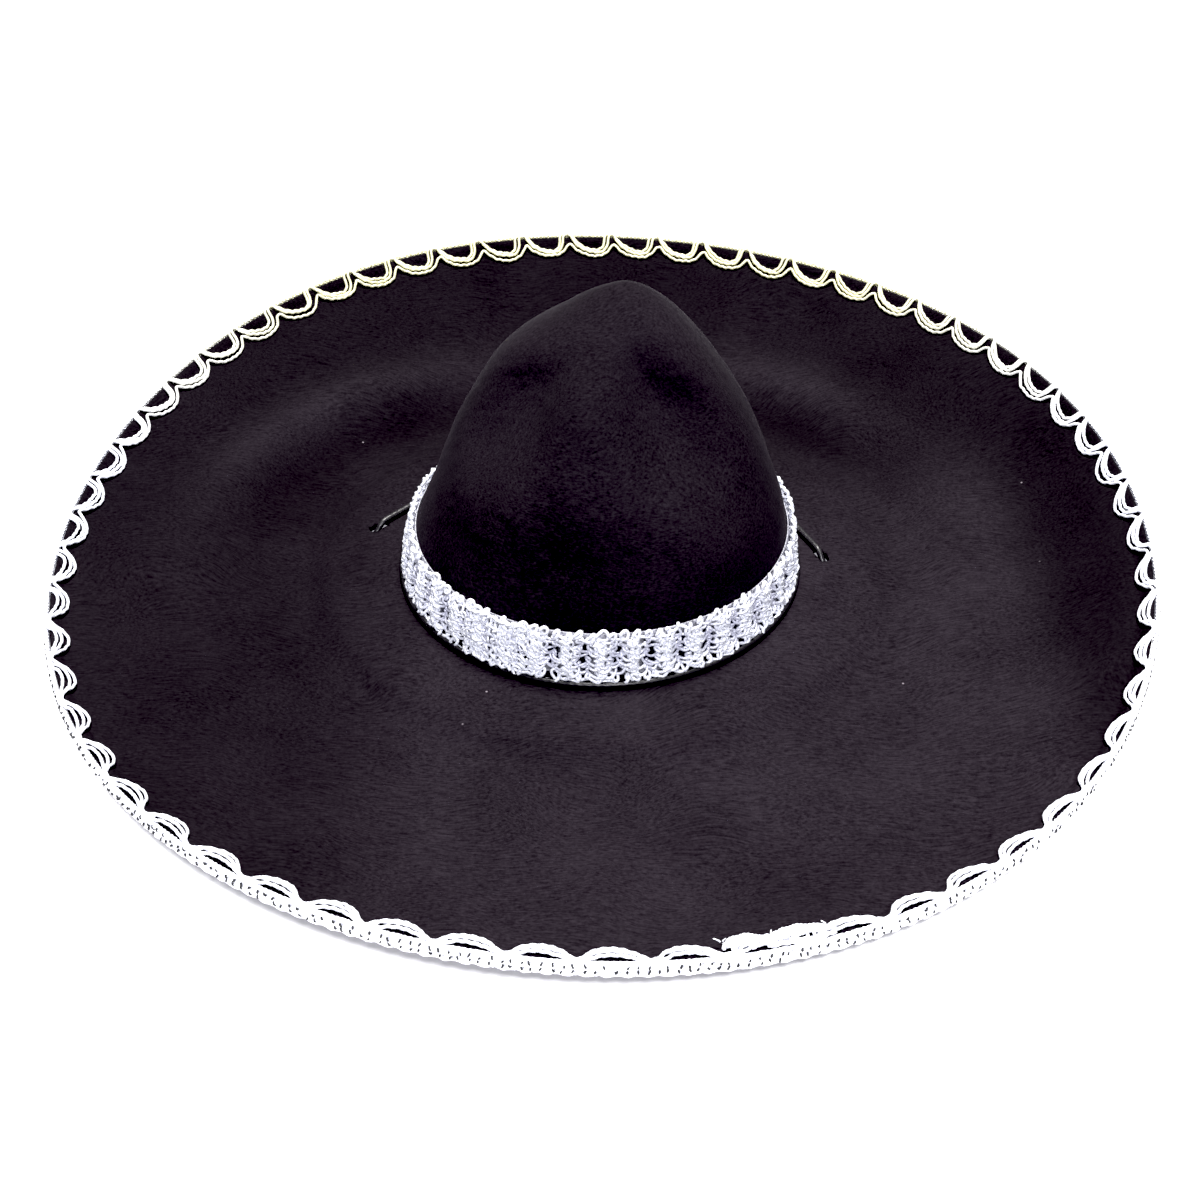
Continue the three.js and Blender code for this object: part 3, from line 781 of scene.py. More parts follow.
def slot_cutter(hole, heading):
    """A rounded slot through the brim for the cord to pass down."""
    angle = math.atan2(heading[1], heading[0])
    outline = []
    for end, start in ((1, -90), (-1, 90)):
        for degrees in np.linspace(start, start + 180, 13):
            turn = math.radians(degrees)
            along_slot = end * SLOT_HALF + SLOT_RADIUS * math.cos(turn) - SLOT_SHIFT
            outline.append((along_slot, SLOT_RADIUS * math.sin(turn)))
    outline = np.array(outline)
    x = hole[0] + outline[:, 0] * math.cos(angle) - outline[:, 1] * math.sin(angle)
    y = hole[1] + outline[:, 0] * math.sin(angle) + outline[:, 1] * math.cos(angle)
    mesh = bpy.data.meshes.new("slot")
    count = len(outline)
    points = [(a, b, z) for z in (-2 * MM, 12 * MM) for a, b in zip(x, y)]
    sides = [(i, (i + 1) % count, count + (i + 1) % count, count + i) for i in range(count)]
    mesh.from_pydata(points, [], [*sides, tuple(range(count))[::-1], tuple(range(count, 2 * count))])
    cutter = bpy.data.objects.new("slot", mesh)
    bpy.context.scene.collection.objects.link(cutter)
    return cutter


def cut(thing, cutters):
    """Cuts holes in a closed piece and leaves a plain mesh."""
    for cutter in cutters:
        boolean = thing.modifiers.new("hole", "BOOLEAN")
        boolean.operation = "DIFFERENCE"
        boolean.solver = "MANIFOLD"
        boolean.object = cutter
    depsgraph = bpy.context.evaluated_depsgraph_get()
    mesh = bpy.data.meshes.new_from_object(thing.evaluated_get(depsgraph))
    thing.modifiers.clear()
    thing.data = mesh
    for cutter in cutters:
        bpy.data.objects.remove(cutter)


def brim(material, left_heading, right_heading):
    """The felt's section turned once round, then cut by the cord's two slots."""
    section = brim_section()
    angle = np.linspace(0, TAU, BRIM_COLUMNS, endpoint=False)[:, None]
    radius, height = section[None, :, 0], section[None, :, 1]
    on_top = smooth((height - 1.0 * MM) / (1.4 * MM))
    z = brim_underside(radius, angle) + height + on_top * brim_marks(radius, angle)
    shape = Shape()
    # The tone here is painted light and shade on the brim's felt.
    shape.grid(polar(radius, angle, z), (True, True), (TAU * 0.2, 0.4), tone=brim_painted_light_and_shade(radius, angle))
    thing = shape.build("brim", material)
    cut(thing, [slot_cutter(LEFT_HOLE, left_heading), slot_cutter(RIGHT_HOLE, right_heading)])
    return piece(thing, "felt", "brim_felt")


# ---- Crown ----

CROWN_COLUMNS = 300
CROWN_ROWS = 170
LINING_ROWS = 60
CROWN_FOOT_PAINTED_LIGHT = 1.2  # painted light: how light the felt is painted at the crown's foot
CROWN_TOP_PAINTED_SHADE = 0.39  # painted shade: how much darker the felt is painted at the top

# The two dents at the front: deepest under a sharp upper edge, which falls away to the outside.
DENTS = [
    {"angle": -56, "z": 121, "depth": 12, "across": 28, "above": 21, "below": 36, "fall": -0.45},
    {"angle": -143, "z": 119, "depth": 13.5, "across": 27, "above": 21, "below": 33, "fall": 0.15},
]


def crown_outline():
    """The crown's outside as radius against height, a smooth curve through the outline's points."""
    points = np.array(CROWN_OUTLINE) * MM
    mirrored = np.vstack([2 * points[0] - points[1], points, [-points[-2][0], points[-2][1]]])
    fine = []
    for p0, p1, p2, p3 in zip(mirrored, mirrored[1:], mirrored[2:], mirrored[3:]):
        t = np.linspace(0, 1, 24, endpoint=False)[:, None]
        pull = (p2 - p0) * 0.5 * t + (p0 - 2.5 * p1 + 2 * p2 - 0.5 * p3) * t**2
        fine.append(p1 + pull + (-0.5 * p0 + 1.5 * p1 - 1.5 * p2 + 0.5 * p3) * t**3)
    return np.vstack([*fine, points[-1:]])


OUTLINE = crown_outline()


def crown_radius(z):
    return np.interp(z, OUTLINE[:, 1], OUTLINE[:, 0])


def crown_lean(z):
    """How far the crown's middle is off to the right."""
    return sum(size * smooth((z - start) / LEAN_OVER) for size, start in (LOWER_LEAN, UPPER_LEAN))


def crown_dents(angle, z):
    """How far the felt is pinched in."""
    depth = 0
    for dent in DENTS:
        centre = dent["z"] * MM
        across = angle_between(angle, math.radians(dent["angle"])) * crown_radius(centre)
        over = z - centre - dent["fall"] * across
        reach = np.where(over > 0, dent["above"], dent["below"]) * MM
        edge = np.abs(across / (dent["across"] * MM)) ** 2.6 + np.abs(over / reach) ** 2.6
        depth = depth + dent["depth"] * MM * np.exp(-edge)
    return depth


def crown_grid(rows, inset):
    """The crown's surface from its foot to its top, inset from the outside."""
    outside = evenly(OUTLINE, rows)
    slope = unit(np.gradient(outside, axis=0))
    radius = np.maximum(outside[:, 0] - inset * slope[:, 1], 0)[:, None]
    z = (outside[:, 1] + inset * slope[:, 0])[:, None]
    radius[-1] = 0.05 * MM
    angle = np.linspace(0, TAU, CROWN_COLUMNS, endpoint=False)[None, :]
    near_top = smooth(radius / (22 * MM))
    x, y = radius * np.cos(angle), radius * np.sin(angle)
    wobble = 0.5 * MM * brim_waves(3 * x + 2 * z, 3 * y) + 0.16 * MM * felt_dimples(1.3 * x, 1.3 * y + z)
    wobble = wobble * smooth((z - 40 * MM) / (30 * MM)) * near_top
    size = np.maximum(radius - crown_dents(angle, z) * near_top + wobble, 0.02 * MM)
    return polar(size, angle, z, crown_lean(z))


def crown(material):
    points = np.concatenate([crown_grid(CROWN_ROWS, 0), crown_grid(LINING_ROWS, FELT)[::-1]])
    # Painted light and shade: the felt is painted lighter at the foot and darker towards the top.
    tone = CROWN_FOOT_PAINTED_LIGHT - CROWN_TOP_PAINTED_SHADE * smooth(points[..., 2] / (150 * MM))
    shape = Shape()
    shape.grid(points, (True, True), (0.4, 0.6), tone=tone)
    return piece(shape.build("crown", material), "felt", "crown_felt")


# ---- Silver loops on the rim ----

LOOPS = 60
FIRST_LOOP = math.radians(-88.8)
STRAND_RADIUS = 0.80 * MM
STRAND_TAPER = 0.14 * MM  # how much thinner a drawn-out loop at the front is than one at the back
LOOP_RINGS = 44
LOOP_PITCH = 28.8  # in millimetres along the rim

# One loop of each strand, clockwise: its share of the pitch, how far in from the felt's edge it is at
# the back of the hat, and how far at the front, where the loops are drawn out over the edge. At the
# back a loop dips in slowly and comes out steeply. The third strand runs on to the next loop.
STRANDS = [
    [(0.00, -0.9, -2.7), (0.07, 0.8, -2.5), (0.17, 3.2, -1.9), (0.33, 5.7, -0.5), (0.52, 6.9, 0.3),
     (0.66, 7.0, -0.1), (0.755, 5.5, -1.0), (0.785, 2.8, -1.4), (0.795, 0.6, -1.6), (0.84, -0.9, -2.2),
     (0.92, -1.2, -2.7)],
    [(0.01, -0.7, -2.5), (0.055, 1.8, -2.4), (0.15, 4.7, -1.1), (0.32, 7.3, 1.9), (0.52, 8.6, 3.2),
     (0.69, 8.5, 2.5), (0.80, 6.9, 0.8), (0.85, 4.2, -0.6), (0.865, 1.2, -1.0), (0.90, -0.7, -1.9),
     (0.96, -1.1, -2.5)],
    [(0.03, 4.2, -2.4), (0.10, 5.9, -1.9), (0.18, 7.4, 0.2), (0.28, 8.8, 3.0), (0.40, 9.8, 5.0),
     (0.52, 10.4, 5.8), (0.64, 10.4, 5.4), (0.76, 9.7, 3.8), (0.86, 8.4, 0.8), (0.93, 6.7, -1.7),
     (0.985, 4.9, -2.4)],
]
LOOP_SPAN = 9 * MM  # how far in from the felt's edge a loop comes to rest on the brim

# The trim is sewn on unevenly: how many loops it has slipped by, against degrees round the rim.
LOOP_SLIP = [
    (-90, 0), (-80, 0), (-70, 0.35), (-30, 0.35), (20, -0.12),
    (90, 0), (200, -0.2), (222, 0), (240, 0.15), (270, 0),
]
FLATTENED = {"angle": -36, "spread": 24, "share": 0.35}  # where the loops are pressed flat


def loop_angle(order):
    """Direction of a place on the trim, counted in loops clockwise."""
    angle = FIRST_LOOP + (0.5 - order) * TAU / LOOPS
    degrees = np.mod(np.degrees(angle) + 90, 360) - 90
    slip = np.interp(degrees, *zip(*LOOP_SLIP))
    return angle + slip * TAU / LOOPS


def towards_front(angle):
    """From 0 round the back of the hat to 1 round its front."""
    return smooth((0.55 - np.sin(angle)) / 1.25)


def over_curl(radius, angle, lift):
    """A place on a loop, which spans the curl from the felt's edge to where it rests on the brim."""
    rest = LIP_EDGE - LOOP_SPAN
    edge = rim_top(angle)
    on_felt = brim_underside(np.minimum(radius, rest), angle) + FELT
    share = np.clip((LIP_EDGE - radius) / LOOP_SPAN, 0, 1)
    height = np.where(radius < rest, on_felt, edge + (on_felt - edge) * share) + lift
    return polar(radius, angle, height)


def loop_strand(shape, knots, seed, lift):
    """One strand the whole way round the rim, each loop a little unlike the others."""
    random = np.random.default_rng(seed)
    places = []
    for loop in range(LOOPS):
        reach = random.uniform(0.94, 1.06)
        slide = random.uniform(-0.02, 0.02)
        for share, at_back, at_front in knots:
            angle = loop_angle(loop + share)
            inward = at_back + (at_front - at_back) * towards_front(angle) + random.normal(0, 0.12)
            pressed = near_direction(angle, FLATTENED["angle"], FLATTENED["spread"])
            inward = inward - FLATTENED["share"] * pressed * max(inward, 0)
            places.append((loop + share + slide, inward * (reach if inward > 0 else 1)))
    places = np.array(places)
    lapped = np.vstack([places[-3:] - [LOOPS, 0], places, places[:3] + [LOOPS, 0]])
    order = spline(lapped * [LOOP_PITCH, 1], LOOPS * LOOP_RINGS + 400) / [LOOP_PITCH, 1]
    order = order[(order[:, 0] >= 0) & (order[:, 0] < LOOPS)]
    angle = loop_angle(order[:, 0])
    radius = LIP_EDGE - order[:, 1] * MM
    wave = 0.25 * MM * np.sin(order[:, 0] * TAU * 7 + seed)
    path = over_curl(radius, angle, STRAND_RADIUS + lift + wave)
    thick = STRAND_RADIUS + STRAND_TAPER * (0.5 - towards_front(angle))
    shape.tube(path, rim_normal(radius, angle), thick, sides=7, closed=True, ply=0.07, twist=3 * MM)


def rim_normal(radius, angle):
    """The felt's upward normal near the rim."""
    slope = (rim_top(angle) - LIP_TOP) * BRIM_CURVE / (LIP_START - REST_OUTER)
    on_curl = smooth((radius - LIP_BEND + 1 * MM) / (2 * MM))
    tilt = np.arctan(slope) * (1 - on_curl) + math.radians(45) * on_curl
    tilt = np.where(radius > LIP_EDGE, math.radians(-20), tilt)
    return polar(-np.sin(tilt), angle, np.cos(tilt))


def rim_loops(material):
    """Three strands of loops, sewn one over another."""
    things = []
    for number, (knots, lift) in enumerate(zip(STRANDS, (0.0, 0.35, 0.1))):
        shape = Shape()
        loop_strand(shape, knots, seed=21 + number, lift=lift * MM)
        nodes = ["scallop_trim"] if number == 0 else []
        things.append(piece(shape.build(f"rim_loops_{number + 1}", material), "tinsel", *nodes))
    return things


# ---- Braid on the outside of the rim ----

BRAID_TOP = 0.5 * MM
BRAID_PITCH = 8.0 * MM
# Each yarn's distance below the braid's top and height of zigzag in mm, its phase and its radius in mm.
BRAID_YARNS = [
    (0.85, 0.15, 0.0, 0.9),
    (2.85, 1.35, 0.0, 1.08),
    (2.85, 1.35, math.pi, 1.08),
    (6.05, 1.35, math.pi / 2, 1.08),
    (6.05, 1.35, -math.pi / 2, 1.08),
    (7.9, 0.55, 1.0, 0.9),
]


TEETH = 720
TEETH_RADIUS = 278.8 * MM
SEWING_ROWS = (2.9, 5.9)  # millimetres below the braid's top
SEWING_STITCHES = 430
SEWING_BOW = np.array([0.1, 0.95, 1.1, 0.95, 0.1]) * MM  # how far a stitch stands out along its length


def edge_braid(material):
    """Flat braid: pairs of yarns that cross and leave two rows of small holes."""
    random = np.random.default_rng(5)
    shape = Shape()
    turns = round(TAU * BRAID_RADIUS / BRAID_PITCH)
    angle = np.linspace(0, TAU, 1900, endpoint=False)
    for below, zigzag, phase, yarn in BRAID_YARNS:
        drift = np.sin(angle * 47 + random.uniform(0, TAU)) * np.sin(angle * 13 + random.uniform(0, TAU))
        wave = angle * turns + phase + 0.25 * drift
        z = rim_top(angle) + BRAID_TOP - below * MM + zigzag * MM * np.sin(wave)
        z = z + 0.12 * MM * np.sin(angle * 211 + random.uniform(0, TAU))
        out = BRAID_RADIUS + (0.32 * MM * np.cos(wave) if zigzag > 1 else 0)
        radius = yarn * MM * (1 + 0.1 * np.sin(angle * 389 + random.uniform(0, TAU)))
        path, normal = polar(out, angle, z), polar(1.0, angle, 0.0)
        shape.tube(path, normal, radius, sides=6, closed=True, ply=0.05, twist=3 * MM, flat=0.7)
    return piece(shape.build("edge_braid_yarns", material), "tinsel", "edge_braid")


def edge_teeth(material):
    """Small teeth of yarn from the braid's top over the felt's cut edge, hardly any at the front."""
    angle = np.linspace(0, TAU, TEETH * 8, endpoint=False)
    reach = np.sin(angle * TEETH) * (1 - 0.8 * towards_front(angle)) * (1 + 0.3 * np.sin(angle * 77))
    radius = TEETH_RADIUS - 0.8 * MM * reach
    z = rim_top(angle) - 0.6 * MM + 0.15 * MM * reach
    shape = Shape()
    shape.tube(polar(radius, angle, z), rim_normal(radius, angle), 0.5 * MM, sides=6, closed=True)
    return piece(shape.build("edge_teeth", material), "tinsel")


def braid_sewing(material):
    """Two uneven rows of small black stitches that hold the braid to the felt."""
    random = np.random.default_rng(15)
    shape = Shape()
    for below in SEWING_ROWS:
        for number in range(SEWING_STITCHES):
            if random.uniform() < 0.12:
                continue
            angle = (number + random.uniform(-0.25, 0.25)) / SEWING_STITCHES * TAU
            slant = random.uniform(-0.5, 0.5) * MM / BRAID_RADIUS
            angles = angle + slant * np.linspace(-1, 1, 5)
            half = random.uniform(0.55, 1.1) * MM
            middle = rim_top(angle) + BRAID_TOP - (below + random.normal(0, 0.35)) * MM
            path = polar(BRAID_RADIUS + SEWING_BOW, angles, middle + half * np.linspace(-1, 1, 5))
            tangent = np.array([-math.sin(angle), math.cos(angle), 0.0])
            shape.tube(path, tangent, 0.48 * MM, sides=5)
    return piece(shape.build("braid_sewing", material), "tinsel")


# ---- Trim's overlapping, frayed end ----

JOIN_FROM = math.radians(-80.0)
JOIN_TO = math.radians(-70.4)
JOIN_LAYERS = 4
JOIN_CURLS = 34
JOIN_SPIKES = 24


def join_mounds(share):
    """How far the trim's lapped loops reach in, from 0 to 1: two mounds, the second one shorter."""
    return np.abs(np.sin(share**1.23 * TAU)) ** 0.7


def in_join(share):
    """A direction in the join, from its right end at 0 to its left end at 1."""
    return JOIN_TO + (JOIN_FROM - JOIN_TO) * share


def lapped_loops(shape):
    """The trim's end: crowded loops laid over its start, and a strand along the felt's edge."""
    for layer in range(JOIN_LAYERS):
        share = np.linspace(0, 1, 150)
        angle = in_join(share)
        inward = (-0.5 + (2.4 + 1.9 * layer) * join_mounds(share) + 0.5 * np.sin(share * 40 + layer)) * MM
        radius = LIP_EDGE - inward
        path = over_curl(radius, angle, (2.1 + 0.25 * layer) * MM)
        shape.tube(path, rim_normal(radius, angle), STRAND_RADIUS, sides=7, ply=0.13, twist=3.4 * MM)
    share = np.linspace(0, 0.61, 90)
    angle = in_join(share)
    radius = LIP_EDGE + (1.4 + 0.3 * np.sin(share * 60)) * MM
    shape.tube(over_curl(radius, angle, 1.0 * MM), rim_normal(radius, angle), STRAND_RADIUS, sides=7)


def join_curl(shape, random):
    """A loose curl of thin yarn somewhere on the join."""
    start = random.uniform(0.1, 0.95) ** 0.8
    inward = random.uniform(-1.5, 0.6 + 5.8 * join_mounds(start)) * MM
    turn = np.linspace(0, random.uniform(3, 8), 22) + random.uniform(0, TAU)
    size = random.uniform(0.8, 2.0) * MM * np.linspace(1, random.uniform(0.4, 1.6), 22)
    drift = np.linspace(0, random.uniform(-2, 2), 22) * MM
    angles = in_join(start) + (size * np.cos(turn) - drift) / LIP_EDGE
    radii = LIP_EDGE - inward - size * np.sin(turn)
    lift = (1.9 + random.uniform(0, 1.4) + np.linspace(0, random.uniform(-0.3, 1.2), 22)) * MM
    path = over_curl(radii, angles, lift)
    shape.tube(path, rim_normal(radii, angles), random.uniform(0.3, 0.55) * MM, sides=5)


def join_spike(shape, random):
    """A short straight end of yarn that points in at the crown."""
    angle = random.uniform(JOIN_FROM, JOIN_TO)
    share = np.linspace(0, 1, 8)
    lean = random.uniform(-3, 3) * MM / LIP_EDGE
    radii = LIP_EDGE - (random.uniform(3, 6.2) + random.uniform(0.8, 1.9) * share) * MM
    angles = angle + lean * share**1.5
    path = over_curl(radii, angles, (2.2 + random.uniform(0, 1.8) * share) * MM)
    shape.tube(path, rim_normal(radii, angles), (0.45 - 0.2 * share) * MM, sides=5)


def trim_join(material):
    """The trim's end laid over its start, with yarn ends that have come loose."""
    random = np.random.default_rng(31)
    shape = Shape()
    lapped_loops(shape)
    for _ in range(JOIN_CURLS):
        join_curl(shape, random)
    for _ in range(JOIN_SPIKES):
        join_spike(shape, random)
    return piece(shape.build("trim_join", material), "tinsel", "trim_overlap")


# ---- Lace band round the crown ----

BAND_REPEATS = 40  # of the lace's pattern, once round
EDGE_FANS = 64
BAND_HEIGHT = BAND_TOP - BAND_BOTTOM
BAND_RADIUS = 100 * MM  # roughly, to turn a length along the band into an angle
CURLS = 115  # in one row
CURL_ROWS = 8
CURL_RINGS = 15
BAND_JOIN_FROM = math.radians(-129)
BAND_JOIN_TO = math.radians(-112)
BAND_JOIN_ROWS = 5
BAND_JOIN_CURLS = 40
NET_SECTION = [(0.9, 0.35), (23.4, 0.35), (23.4, 0.95), (0.9, 0.95)]  # height and distance out, in mm


def band_frame(angle, height, out):
    """A place on the band and its outward normal: angle, height over the band's foot, distance out."""
    z = BAND_BOTTOM + height
    return polar(crown_radius(z) + out, angle, z, crown_lean(z)), unit(polar(1.0, angle, 0.14))


def lace_slant(share):
    """How far the lace's ribs have swept sideways at a share of the band's height, in radians of a repeat."""
    return 2.3 * (share - 0.5) + 0.5 * np.sin(share * TAU)


def lace_pattern(angle, height):
    """From 0 in the open, sunken diamonds of the lace to 1 on its raised, crowded ribs."""
    share = height / BAND_HEIGHT
    rib = 0.5 + 0.5 * np.cos(angle * BAND_REPEATS + lace_slant(share))
    edge = np.abs(2 * share - 1) ** 3
    return np.clip(rib * (1 - edge) + edge, 0, 1)


def curl_row(shape, middle, seed, picot):
    """One yarn curled the whole way round the band. picot is -1 or 1 where it makes an edge's small fans."""
    random = np.random.default_rng(seed)
    turn = np.linspace(0, TAU * CURLS, CURLS * CURL_RINGS, endpoint=False)
    size = around(random.uniform(0.5, 1.5, CURLS), turn)
    rise = around(random.normal(0, 1.0, CURLS), turn) * MM
    push = around(random.uniform(-0.5, 0.7, CURLS), turn) * MM
    slide = around(random.normal(0, 1.1, CURLS), turn) * MM
    centre = turn / CURLS
    size = size * (0.75 + 0.35 * lace_pattern(centre, middle))
    angle = centre + (2.5 * MM * size * np.cos(turn) + slide) / BAND_RADIUS
    fan = 1.7 * picot * (0.5 + 0.5 * np.cos(angle * EDGE_FANS)) * MM
    height = middle + rise * (1 - abs(picot) * 0.5) + fan + 2.0 * MM * size * np.sin(turn)
    raised = lace_pattern(angle, np.clip(height, 0, BAND_HEIGHT))
    out = (1.3 + 2.2 * raised + 0.7 * np.sin(turn * 2 + seed)) * MM + push
    path, normal = band_frame(angle, height, out)
    # Painted shade: the yarn is darker where it lies sunken in the lace's open diamonds.
    tone = np.clip(0.25 + 0.95 * raised, 0, 1)
    shape.tube(path, normal, (0.68 + 0.2 * raised) * MM, sides=6, closed=True, tone=tone)


def lace_band(material):
    """Eight curled yarns in four pieces, so that each piece stays light."""
    middles = np.linspace(1.7 * MM, BAND_HEIGHT - 1.7 * MM, CURL_ROWS)
    things = []
    for part, name in enumerate(("bottom", "lower", "upper", "top")):
        shape = Shape()
        for row in (2 * part, 2 * part + 1):
            picot = {0: -1.0, CURL_ROWS - 1: 1.0}.get(row, 0)
            curl_row(shape, middles[row], seed=40 + row, picot=picot)
        nodes = ["hat_band"] if part == 0 else []
        things.append(piece(shape.build(f"lace_yarn_{name}", material), "tinsel", *nodes))
    return things


def lace_ribs(material):
    """Bundles of yarn that sweep up across the band once in each repeat, with frayed curls on them."""
    random = np.random.default_rng(77)
    shape = Shape()
    for repeat in range(BAND_REPEATS):
        for strand in range(4):
            share = np.linspace(random.uniform(0.02, 0.12), random.uniform(0.86, 0.98), 34)
            spread = (strand - 1.5) * random.uniform(0.7, 1.2) * MM * (0.6 + share)
            curl = random.uniform(0.5, 1.1) * MM
            phase = random.uniform(0, TAU)
            turn = share * TAU * random.uniform(4, 6.5) + phase
            angle = (TAU * repeat - lace_slant(share)) / BAND_REPEATS
            angle = angle + (spread + curl * np.cos(turn)) / BAND_RADIUS
            height = share * BAND_HEIGHT + curl * np.sin(turn)
            out = (3.4 + random.uniform(-0.2, 0.9) + 0.4 * np.sin(turn)) * MM
            path, normal = band_frame(angle, height, out)
            shape.tube(path, normal, random.uniform(0.55, 0.75) * MM, sides=6)
    return piece(shape.build("lace_ribs", material), "tinsel")


def lace_ground(material):
    """The net that the curled yarns are worked on, a sheet painted with the lace's shade."""
    shape = Shape()
    section = rounded_outline(np.array(NET_SECTION) * MM, 0.3 * MM, 1.5 * MM)
    height, out = section[None, :, 0], section[None, :, 1]
    angle = np.linspace(0, TAU, 240, endpoint=False)[:, None]
    place, _ = band_frame(angle, height, out)
    crowded = lace_pattern(angle, height)
    # Painted shade: black in the open holes, grey where the yarns crowd.
    shape.grid(place, (True, True), (0.6, 0.05), tone=smooth((crowded - 0.25) / 0.5))
    return piece(shape.build("lace_ground", material), "tinsel")


def lapped_band(shape, random):
    """The band's end: a few rows of large curls over its start."""
    for row in range(BAND_JOIN_ROWS):
        turn = np.linspace(0, TAU * 6, 6 * 14)
        share = turn / turn[-1]
        angle = BAND_JOIN_TO + (BAND_JOIN_FROM - BAND_JOIN_TO) * share + 2.6 * MM * np.cos(turn) / BAND_RADIUS
        middle = (2.4 + row * 5.1 + random.normal(0, 0.5)) * MM
        height = middle + 2.5 * MM * np.sin(turn) * (1 + 0.35 * np.sin(2.3 * turn + row))
        raised = lace_pattern(angle + 0.06, np.clip(height, 0, BAND_HEIGHT))
        out = (3.0 + 1.4 * raised + 0.8 * np.sin(turn * 2 + row)) * MM
        path, normal = band_frame(angle, height, out)
        # Painted shade: the curls are darker where they lie sunken.
        shape.tube(path, normal, (0.62 + 0.22 * raised) * MM, sides=6, tone=0.5 + 0.5 * raised)


def band_curl(shape, random):
    """A loose curl at one of the join's two cuts."""
    turn = np.linspace(0, random.uniform(2.5, 7), 18) + random.uniform(0, TAU)
    size = random.uniform(1.0, 2.7) * MM * np.linspace(0.7, 1.2, 18)
    cut_at = random.choice([BAND_JOIN_FROM, BAND_JOIN_TO]) + random.normal(0, 0.024)
    height = random.uniform(0.5, 26.0) * MM + size * np.sin(turn)
    out = random.uniform(3.0, 5.0) * MM
    path, normal = band_frame(cut_at + size * np.cos(turn) / BAND_RADIUS, height, out)
    shape.tube(path, normal, random.uniform(0.4, 0.68) * MM, sides=6)


def band_join(material):
    """The band's end lapped over its start at the front left, with loose curls at the cuts."""
    random = np.random.default_rng(61)
    shape = Shape()
    lapped_band(shape, random)
    for _ in range(BAND_JOIN_CURLS):
        band_curl(shape, random)
    return piece(shape.build("band_join", material), "tinsel", "hat_band_overlap")


# ---- Chin cord ----


def on_table(*places):
    """Points of a cord that lies on the table."""
    return [(x, y, CORD_ON_TABLE) for x, y in places]


# Each free side of the cord under the hat, from its hole to the knot.
LEFT_ROUTE = [
    (-0.1216, 0.0263, 0.0033), (-0.1231, 0.0247, 0.00215),
    *on_table(
        (-0.1254, 0.0220), (-0.1276, 0.0182), (-0.1278, 0.0134), (-0.1250, 0.0090),
        (-0.1195, 0.0068), (-0.1110, 0.0076), (-0.0980, 0.0120), (-0.0850, 0.0210),
        (-0.0710, 0.0360), (-0.0530, 0.0520), (-0.0300, 0.0620), (-0.0040, 0.0650),
        (0.0220, 0.0610), (0.0440, 0.0500), (0.0570, 0.0330), (0.0560, 0.0160),
        (0.0450, 0.0064),
    ),
    (0.0330, 0.0033, 0.0022), (0.0240, 0.0030, 0.0032), (0.0190, 0.0030, 0.0034),
    (0.0000, 0.0030, 0.0034), (-0.0300, 0.0030, 0.0034), (-0.0580, 0.0030, 0.0034),
]
RIGHT_ROUTE = [
    (0.1180, -0.00015, 0.0033), (0.1189, -0.0021, 0.00215),
    *on_table(
        (0.1203, -0.0054), (0.1212, -0.0098), (0.1196, -0.0144), (0.1152, -0.0173),
        (0.1090, -0.0180), (0.0990, -0.0180), (0.0880, -0.0210), (0.0780, -0.0300),
        (0.0690, -0.0430), (0.0550, -0.0560), (0.0350, -0.0660), (0.0120, -0.0700),
        (-0.0080, -0.0660), (-0.0200, -0.0540), (-0.0160, -0.0400), (-0.0020, -0.0330),
        (0.0160, -0.0310), (0.0340, -0.0295), (0.0450, -0.0250), (0.0500, -0.0160),
        (0.0455, -0.0074),
    ),
    (0.0350, -0.0036, 0.0021), (0.0240, -0.0030, 0.0032), (0.0190, -0.0030, 0.0034),
    (0.0000, -0.0030, 0.0034), (-0.0300, -0.0030, 0.0034), (-0.0580, -0.0030, 0.0034),
]

CORD_RING = 0.9 * MM  # from one ring of the cord's mesh to the next

# Heights of the cord where it slants down through a hole, against its way past the middle, in mm.
DIP = [(-14, 9.0), (-8, 9.0), (-4.5, 8.75), (-2, 7.5), (0, 5.6), (1.8, 3.8)]


def touch_degrees(hole, side):
    """Where a line from the hole touches the cord's outer turn, behind the crown."""
    distance = math.hypot(*hole)
    return math.degrees(math.atan2(hole[1], hole[0]) + side * math.acos(OUTER_TURN / distance))


def heading_to(hole, touch):
    """The direction from the cord's outer turn to a hole."""
    turn = math.radians(touch)
    across = np.array(hole) - OUTER_TURN * np.array([math.cos(turn), math.sin(turn)])
    return across / np.linalg.norm(across)


def dip_into(hole, heading):
    """The cord's way down through a hole."""
    return [(hole[0] + heading[0] * way * MM, hole[1] + heading[1] * way * MM, z * MM) for way, z in DIP]


def turn_point(radius, degrees, z):
    return (radius * math.cos(math.radians(degrees)), radius * math.sin(math.radians(degrees)), z)


def wrap_route(left_touch, right_touch, left_heading, right_heading):
    """One and a half turns round the crown, from hole to hole, crossing itself once at the back."""
    between = OUTER_TURN - INNER_TURN
    points = dip_into(LEFT_HOLE, left_heading)[::-1]
    for degrees in np.arange(left_touch, 0, -6):
        points.append(turn_point(OUTER_TURN - between * smooth((97 - degrees) / 14), degrees, CORD_ON_BRIM))
    for degrees in range(0, -180, -6):
        points.append(turn_point(INNER_TURN, degrees, CORD_ON_BRIM))
    for degrees in np.arange(180, right_touch, -5):
        hump = 1 - smooth((abs(degrees - 90) - 6) / 12)
        radius = INNER_TURN + between * smooth((97 - degrees) / 14)
        points.append(turn_point(radius, degrees, CORD_ON_BRIM + hump * (2 * CORD_RADIUS + 0.5 * MM)))
    return points + dip_into(RIGHT_HOLE, right_heading)


def cord_tube(shape, path, radius):
    """A stretch of the braided cord."""
    shape.tube(path, UP, radius, sides=14, ply=0.018, twist=6 * MM)


